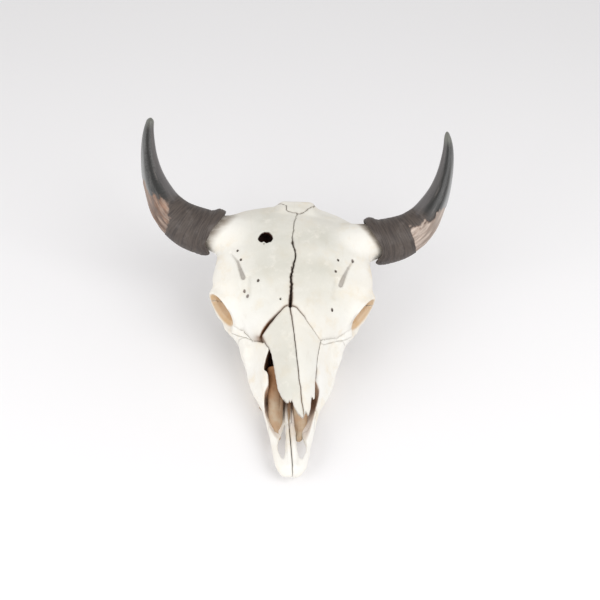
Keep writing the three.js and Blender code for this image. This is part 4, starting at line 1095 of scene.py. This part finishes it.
def enamel_material(colours):
    s = Shader("cheek tooth enamel")
    stain = s.span(s.noise(110, 5, 0.6), 0.4, 0.7)
    colour = s.tint(stain, colours.enamel, colours.warm)
    crevice = s.patchy("crevice", s.noise(200, 4), 0.3, 0.6, 0.6, 1.0)
    colour = s.tint(crevice, colour, colours.rust)
    s.link(colour, s.surface.inputs["Base Color"])
    s.link(s.span(s.noise(80, 3), 0.3, 0.7, 0.25, 0.45), s.surface.inputs["Roughness"])
    ribs = s.bump(s.noise(220, 4, 0.5, (1.0, 1.0, 0.2)), 0.0008, 0.35)
    s.link(ribs, s.surface.inputs["Normal"])
    return s.material


def scroll_material(colours):
    s = Shader("thin bone of the nose")
    stains = s.span(s.noise(40, 5, 0.6), 0.3, 0.7, 0.0, 0.6)
    behind = s.tint(stains, colours.nose, colours.rust)
    front = s.tint(stains, colours.floor_of_nose, colours.nose)
    colour = s.tint(s.mark("front"), behind, front)
    # Painted shade at the back ends of the scrolls and the blade.
    colour = s.tint(s.mark("painted_shade"), colour, colours.painted_shade)
    s.link(colour, s.surface.inputs["Base Color"])
    s.link(s.span(s.noise(45, 4), 0.3, 0.7, 0.65, 0.85), s.surface.inputs["Roughness"])
    s.link(s.bump(s.noise(260, 4, 0.6, (1.0, 0.3, 1.0)), 0.0006, 0.4), s.surface.inputs["Normal"])
    return s.material


def horn_material(look):
    s = Shader("weathered horn")
    s.follow("grain")
    along = s.mark("along")
    turned = s.mark("turned")
    fibres = s.noise(150, 6, 0.62, (1.0, 0.14, 1.0))
    across = s.noise(260, 5, 0.6, (0.12, 1.0, 0.12))
    base = s.tint(s.span(across, 0.36, 0.62), look.dark, look.brown)
    base = s.tint(s.span(s.noise(60, 5, 0.6), 0.5, 0.75, 0.0, 0.3), base, look.dust)
    wander = s.math("MULTIPLY", s.noise(40, 4, 0.6, (1.0, 0.2, 1.0)), None, 0.7)
    reach = s.math("ADD", turned, wander)
    # Painted highlight: a pale streak laid along the outer curve of the smooth horn, fainter toward the tip.
    painted_highlight = s.math("MULTIPLY", s.span(reach, 0.6, 1.15), s.span(along, 0.95, 0.6, 0.45, 1.0))
    middle = s.tint(s.span(reach, 0.1, -0.35), look.smooth, look.inner_curve)
    smooth = s.tint(painted_highlight, middle, look.painted_highlight)
    smooth = s.tint(s.span(fibres, 0.5, 0.75, 0.0, 0.35), smooth, look.dust)
    edge = s.math("ADD", along, s.math("MULTIPLY", s.noise(70, 4), None, 0.16))
    colour = s.tint(s.span(edge, 0.44, 0.56), base, smooth)
    colour = s.tint(s.span(along, 0.9, 0.985, 0, 0.75), colour, look.tip)
    gaps = s.patchy("ringed", s.noise(140, 4), 0.35, 0.7, 0.1, 0.75)
    colour = s.tint(gaps, colour, look.fissure)
    bare = s.tint(s.span(fibres, 0.4, 0.62), look.peeled, look.peeled_dark)
    rusty = s.span(s.noise(120, 6, 0.7, (1.0, 0.3, 1.0)), 0.42, 0.68, 0.0, 0.9)
    bare = s.tint(rusty, bare, look.peeled_rust)
    dusty = s.span(s.noise(90, 5, 0.7, (1.0, 0.25, 1.0)), 0.5, 0.7, 0.0, 0.8)
    bare = s.tint(dusty, bare, look.dust)
    bare = s.tint(s.patchy("pale", fibres, 0.35, 0.6, 0.95, 0.55), bare, look.peeled_pale)
    colour = s.tint(s.patchy("peel", fibres, 0.3, 0.65, 1.0, 0.6), colour, bare)
    # Painted shade: the inside of the sheath is near-black.
    colour = s.tint(s.mark("hollow"), colour, look.inside)
    s.link(colour, s.surface.inputs["Base Color"])
    gloss = s.span(along, 0.3, 0.6, 0.52, 0.26)
    dull = s.span(s.mark("peel"), 0.0, 1.0, 0.0, 0.35)
    s.link(s.math("ADD", gloss, dull), s.surface.inputs["Roughness"])
    ring_bump = s.bump(across, 0.0012, 0.5)
    flaked = s.math("MULTIPLY", fibres, s.span(s.mark("peel"), 0.0, 1.0, 0.25, 1.0))
    flakes = s.bump(flaked, 0.0016, 0.5, ring_bump)
    s.link(s.bump(s.noise(700, 3), 0.0003, 0.25, flakes), s.surface.inputs["Normal"])
    return s.material


def floor_material(colour):
    s = Shader("studio floor")
    clouds = s.span(s.noise(0.8, 2), 0.3, 0.7, 0.0, 1.0)
    shade = s.tint(clouds, colour, [value * 0.99 for value in colour])
    s.link(shade, s.surface.inputs["Base Color"])
    s.surface.inputs["Roughness"].default_value = 0.85
    s.surface.inputs["Specular IOR Level"].default_value = 0.1
    return s.material


# Properties that a user would change

def colour_property(name, description, default):
    return FloatVectorProperty(name=name, description=description, default=default, subtype="COLOR",
                               size=3, min=0, max=1)


class SkullShape(bpy.types.PropertyGroup):
    """How finely the skull is meshed."""
    grid: FloatProperty(name="Bone grid", description="Spacing of the points that the bones are meshed from",
                        default=0.0018, min=0.0008, max=0.005, subtype="DISTANCE", unit="LENGTH")
    tooth_grid: FloatProperty(name="Tooth grid", description="Spacing of the points of the teeth and scrolls",
                              default=0.0008, min=0.0005, max=0.003, subtype="DISTANCE", unit="LENGTH")


class BoneColours(bpy.types.PropertyGroup):
    """Colours of the bleached bone."""
    cream: colour_property("Cream", "Clean bleached bone", (0.85, 0.82, 0.75))
    ivory: colour_property("Ivory", "Palest bone", (0.89, 0.88, 0.84))
    warm: colour_property("Warm", "Yellowed bone near edges and below", (0.82, 0.71, 0.54))
    grey: colour_property("Grey", "Weathered middle of the forehead", (0.60, 0.59, 0.52))
    pore: colour_property("Pore", "Dirt in the pores", (0.54, 0.47, 0.38))
    # Partly stain, partly painted shadow under the sheath's lip.
    sheath_lip_stain_and_shadow: colour_property("Neck", "Stain beside the horn sheaths", (0.30, 0.25, 0.20))
    socket: colour_property("Socket", "Tan inside of the eye sockets", (0.60, 0.37, 0.16))
    nose: colour_property("Nose", "Brown inside of the nose", (0.42, 0.21, 0.09))
    floor_of_nose: colour_property("Floor of the nose", "Tan front of the nose", (0.52, 0.42, 0.30))
    rust: colour_property("Rust", "Brown stain in open sutures", (0.22, 0.09, 0.03))
    suture: colour_property("Suture", "Dirt in closed sutures", (0.14, 0.10, 0.075))
    # Painted shade: near-black colour laid into the darkest hollows.
    painted_shade: colour_property("Deep", "Darkest hollows", (0.05, 0.012, 0.006))
    enamel: colour_property("Enamel", "Tooth enamel", (0.80, 0.74, 0.60))


class HornLook(bpy.types.PropertyGroup):
    """Colours of the horn sheaths."""
    dark: colour_property("Dark", "Darkest rings near the mouth", (0.045, 0.034, 0.03))
    brown: colour_property("Brown", "Grey-brown horn near the mouth", (0.085, 0.066, 0.055))
    fissure: colour_property("Fissure", "Dark gaps between the rings", (0.022, 0.016, 0.014))
    smooth: colour_property("Smooth", "Near-black band of the upper horn", (0.021, 0.021, 0.02))
    inner_curve: colour_property("Inner curve", "Dark grey inner curve", (0.12, 0.112, 0.112))
    # Painted highlight: pale streak laid along the outer curve.
    painted_highlight: colour_property("Silver", "Pale streak on the outer curve", (0.34, 0.345, 0.345))
    tip: colour_property("Tip", "Worn tip", (0.20, 0.205, 0.18))
    dust: colour_property("Dust", "Dry pale fibres", (0.21, 0.185, 0.17))
    peeled: colour_property("Peeled", "Bare layer where horn has flaked off", (0.42, 0.32, 0.26))
    peeled_dark: colour_property("Peeled dark", "Darker fibres of the bare layer", (0.19, 0.125, 0.095))
    peeled_rust: colour_property("Peeled rust", "Rusty patches of the bare layer", (0.36, 0.20, 0.13))
    peeled_pale: colour_property("Peeled pale", "Pale fresh layer on one horn", (0.62, 0.52, 0.45))
    # Painted shade inside the sheath.
    inside: colour_property("Inside", "Inside of the sheath", (0.02, 0.012, 0.009))


class StageLook(bpy.types.PropertyGroup):
    """Camera and light."""
    floor: colour_property("Floor", "Colour of the floor", (0.92, 0.915, 0.925))
    azimuth: FloatProperty(name="Azimuth", description="Direction of the camera round the skull, from +X",
                           default=math.radians(-93.6), subtype="ANGLE", unit="ROTATION")
    elevation: FloatProperty(name="Elevation", description="Height of the camera as an angle",
                             default=math.radians(45.3), subtype="ANGLE", unit="ROTATION")
    roll: FloatProperty(name="Roll", description="Tilt of the camera about its line of sight",
                        default=math.radians(4.4), subtype="ANGLE", unit="ROTATION")
    distance: FloatProperty(name="Distance", description="Camera to the middle of the skull",
                            default=1.781, subtype="DISTANCE", unit="LENGTH")
    lens: FloatProperty(name="Lens", description="Focal length of the camera in millimetres",
                        default=56.6, min=10, max=200)
    sky: FloatProperty(name="Sky", description="Strength of the light from all round",
                       default=0.70, min=0, max=5)
    key: FloatProperty(name="Key light", description="Power of the large lamp at the right and in front",
                       default=25, min=0, max=500, unit="POWER")
    fill: FloatProperty(name="Fill light", description="Power of the lamp at the left",
                        default=18, min=0, max=500, unit="POWER")


# Operators

def settings():
    return bpy.context.scene.skull_settings


def material(name, build):
    found = bpy.data.materials.get(name)
    return found if found else build()


def finish_piece(piece, node, finish):
    piece.data.materials.append(finish)
    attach(piece, "root")
    if node:
        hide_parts(node)


def build_bone(name):
    grid = settings().shape.grid * 1000 * 1
    whole = piece_field(name)
    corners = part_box(name)
    shift = frame_origin()
    low = np.array(corners[0]) * 1000 + shift - 5
    high = np.array(corners[1]) * 1000 + shift + 14
    points, quads = mesh_field(lambda x, y, z: whole(x, y, z)[0], low, high, grid)
    if len(quads) == 0:
        raise RuntimeError(f"no surface was found for {name}")
    points, quads = largest_island(points, quads)
    quads = outward(points, quads)
    _, cut = whole(*points.astype(np.float32).T)
    piece = make_object(f"bone_{name}", points, quads, bone_marks(points, cut))
    finish = material("bleached bone", lambda: bone_material("bleached bone", settings().bone))
    finish_piece(piece, name, finish)


def build_field(name, field, low, high, finish, marks):
    grid = settings().shape.tooth_grid * 1000 * 1
    points, quads = mesh_field(field, low, high, grid)
    if len(quads) == 0:
        raise RuntimeError(f"no surface was found for {name}")
    points, quads = largest_island(points, quads)
    piece = make_object(name, points, outward(points, quads), marks(points))
    finish_piece(piece, None, finish)


class BoneOperator:
    """Shared by the operators that build a group of bones."""
    bl_options = {"REGISTER", "UNDO"}
    bones = ()

    def execute(self, context):
        for name in self.bones:
            build_bone(name)
        return {"FINISHED"}


class SKULL_OT_nasals(BoneOperator, bpy.types.Operator):
    """Build both nasal bones, drifted to one side, with their forked tips"""
    bl_idname = "skull.nasals"
    bl_label = "Nasal bones"
    bones = ("nasal_left", "nasal_right")


class SKULL_OT_frontals(BoneOperator, bpy.types.Operator):
    """Build both frontal bones, with the brow grooves, the hole and the horn necks"""
    bl_idname = "skull.frontals"
    bl_label = "Frontal bones"
    bones = ("frontal_left", "frontal_right")


class SKULL_OT_face(BoneOperator, bpy.types.Operator):
    """Build the lacrimal, zygomatic, premaxillary and maxillary bones"""
    bl_idname = "skull.face"
    bl_label = "Face bones"
    bones = tuple(f"{bone_name}_{word}" for bone_name in ("lacrimal", "zygomatic", "premaxilla", "maxilla")
                  for word in ("left", "right"))


class SKULL_OT_hind(BoneOperator, bpy.types.Operator):
    """Build the bones round the braincase and under it"""
    bl_idname = "skull.hind"
    bl_label = "Hind bones"
    bones = ("parietal", "occipital", "temporal_left", "temporal_right", "palatine", "sphenoid")


class SKULL_OT_teeth(bpy.types.Operator):
    """Build both rows of cheek teeth"""
    bl_idname = "skull.teeth"
    bl_label = "Cheek teeth"
    bl_options = {"REGISTER", "UNDO"}

    def execute(self, context):
        finish = material("cheek tooth enamel", lambda: enamel_material(settings().bone))

        def marks(points):
            z = points[:, 2]
            return {"crevice": np.clip(smooth_step(0.6, 2.2, z) * smooth_step(7, 3, z)
                                       + 0.5 * smooth_step(10, 16, z), 0, 1)}

        for word, side in SIDES:
            ends = sorted((side * 30, side * 76))
            build_field(f"teeth_{word}", lambda x, y, z, side=side: tooth_row(side * x, y, z),
                        (ends[0], 160, -2), (ends[1], 312, 28), finish, marks)
        return {"FINISHED"}


class SKULL_OT_scrolls(bpy.types.Operator):
    """Build the rolled sheets of bone and the blade inside the nose"""
    bl_idname = "skull.scrolls"
    bl_label = "Nose scrolls"
    bl_options = {"REGISTER", "UNDO"}

    def execute(self, context):
        finish = material("thin bone of the nose", lambda: scroll_material(settings().bone))

        def marks(points):
            y = points[:, 1]
            # Painted shade: the back ends, far into the nose, are marked to go near-black.
            return {"painted_shade": 0.8 * smooth_step(186, 206, y), "front": smooth_step(172, 120, y)}

        for word, side in SIDES:
            middle = -NOSE_OFFSET + side * 24
            build_field(f"nose_scroll_{word}", nose_scroll(side), (middle - 26, 56, 24),
                        (middle + 26, 204, 116), finish, marks)
        build_field("nose_septum", nose_septum, (-16, 82, 34), (8, 240, 70), finish, marks)
        return {"FINISHED"}


class SKULL_OT_sheaths(bpy.types.Operator):
    """Build both horn sheaths, ringed near the mouth and smooth toward the tip"""
    bl_idname = "skull.sheaths"
    bl_label = "Horn sheaths"
    bl_options = {"REGISTER", "UNDO"}

    def execute(self, context):
        finish = material("weathered horn", lambda: horn_material(settings().horn))
        for word, side in SIDES:
            piece = make_sheath(f"horn_sheath_piece_{word}", *sheath_piece(side))
            finish_piece(piece, f"horn_sheath_{word}", finish)
        return {"FINISHED"}


def make_sheath(name, points, quads, fans, marks):
    mesh = bpy.data.meshes.new(name)
    mesh.from_pydata(to_frame(points).tolist(), [], quads.tolist() + fans.tolist())
    mesh.polygons.foreach_set("use_smooth", np.ones(len(mesh.polygons), bool))
    add_marks(mesh, marks)
    piece = bpy.data.objects.new(name, mesh)
    bpy.context.scene.collection.objects.link(piece)
    return piece


class SKULL_OT_stage(bpy.types.Operator):
    """Set up the floor, the soft lights and the camera"""
    bl_idname = "skull.stage"
    bl_label = "Stage"
    bl_options = {"REGISTER", "UNDO"}

    def execute(self, context):
        look = settings().stage
        scene = context.scene
        half = 6.0
        mesh = bpy.data.meshes.new("floor")
        mesh.from_pydata([(-half, -half, 0), (half, -half, 0), (half, half, 0), (-half, half, 0)], [],
                         [(0, 1, 2, 3)])
        mesh.materials.append(floor_material(look.floor))
        floor = bpy.data.objects.new("floor", mesh)
        scene.collection.objects.link(floor)
        world = bpy.data.worlds.new("studio")
        world.use_nodes = True
        background = world.node_tree.nodes["Background"]
        background.inputs["Color"].default_value = (1.0, 0.99, 0.985, 1)
        background.inputs["Strength"].default_value = look.sky
        scene.world = world
        scene.view_settings.view_transform = "Standard"
        add_lamp(scene, "key", (1.3, -1.2, 1.9), (0, 0.05, 0.1), 2.0, look.key)
        add_lamp(scene, "fill", (-1.7, -1.3, 1.2), (0, 0, 0.1), 1.8, look.fill)
        target = Vector(to_frame((0, 300, 150)))
        direction = Vector((math.cos(look.elevation) * math.cos(look.azimuth),
                            math.cos(look.elevation) * math.sin(look.azimuth), math.sin(look.elevation)))
        turn = direction.to_track_quat("Z", "Y").to_matrix() @ Matrix.Rotation(look.roll, 3, "Z")
        data = bpy.data.cameras.new("camera")
        data.lens = look.lens
        data.sensor_width = 36
        data.shift_x = 0.011
        data.shift_y = 0.0118
        camera = bpy.data.objects.new("camera", data)
        camera.matrix_world = Matrix.Translation(target + direction * look.distance) @ turn.to_4x4()
        scene.collection.objects.link(camera)
        scene.camera = camera
        return {"FINISHED"}


def add_lamp(scene, name, place, aim, size, power):
    data = bpy.data.lights.new(name, "AREA")
    data.shape = "DISK"
    data.size = size
    data.energy = power
    lamp = bpy.data.objects.new(name, data)
    lamp.location = place
    lamp.rotation_euler = (Vector(place) - Vector(aim)).to_track_quat("Z", "Y").to_euler()
    scene.collection.objects.link(lamp)


PIECE_OPERATORS = (SKULL_OT_nasals, SKULL_OT_frontals, SKULL_OT_face, SKULL_OT_hind, SKULL_OT_teeth,
                   SKULL_OT_scrolls, SKULL_OT_sheaths, SKULL_OT_stage)


class SkullSettings(bpy.types.PropertyGroup):
    """All settings of the skull."""
    shape: PointerProperty(type=SkullShape, name="Shape", description="How finely the skull is meshed")
    bone: PointerProperty(type=BoneColours, name="Bone", description="Colours of the bone")
    horn: PointerProperty(type=HornLook, name="Horn", description="Colours of the horn sheaths")
    stage: PointerProperty(type=StageLook, name="Stage", description="Camera and light")


class SKULL_PT_panel(bpy.types.Panel):
    """Lists the pieces of the skull and their settings"""
    bl_idname = "SKULL_PT_panel"
    bl_label = "Bison skull"
    bl_space_type = "VIEW_3D"
    bl_region_type = "UI"
    bl_category = "Skull"

    def draw(self, context):
        layout = self.layout
        for operator in PIECE_OPERATORS:
            layout.operator(operator.bl_idname)
        every = context.scene.skull_settings
        for group in (every.shape, every.bone, every.horn, every.stage):
            box = layout.box()
            for key in group.__annotations__:
                box.prop(group, key)


CLASSES = (SkullShape, BoneColours, HornLook, StageLook, SkullSettings, *PIECE_OPERATORS, SKULL_PT_panel)


def register():
    for item in CLASSES:
        bpy.utils.register_class(item)
    bpy.types.Scene.skull_settings = PointerProperty(type=SkullSettings)


def unregister():
    del bpy.types.Scene.skull_settings
    for item in reversed(CLASSES):
        bpy.utils.unregister_class(item)


def main():
    register()
    bpy.ops.skull.nasals()
    bpy.ops.skull.frontals()
    bpy.ops.skull.face()
    bpy.ops.skull.hind()
    bpy.ops.skull.teeth()
    bpy.ops.skull.scrolls()
    bpy.ops.skull.sheaths()
    bpy.ops.skull.stage()


if __name__ == "__main__":
    main()
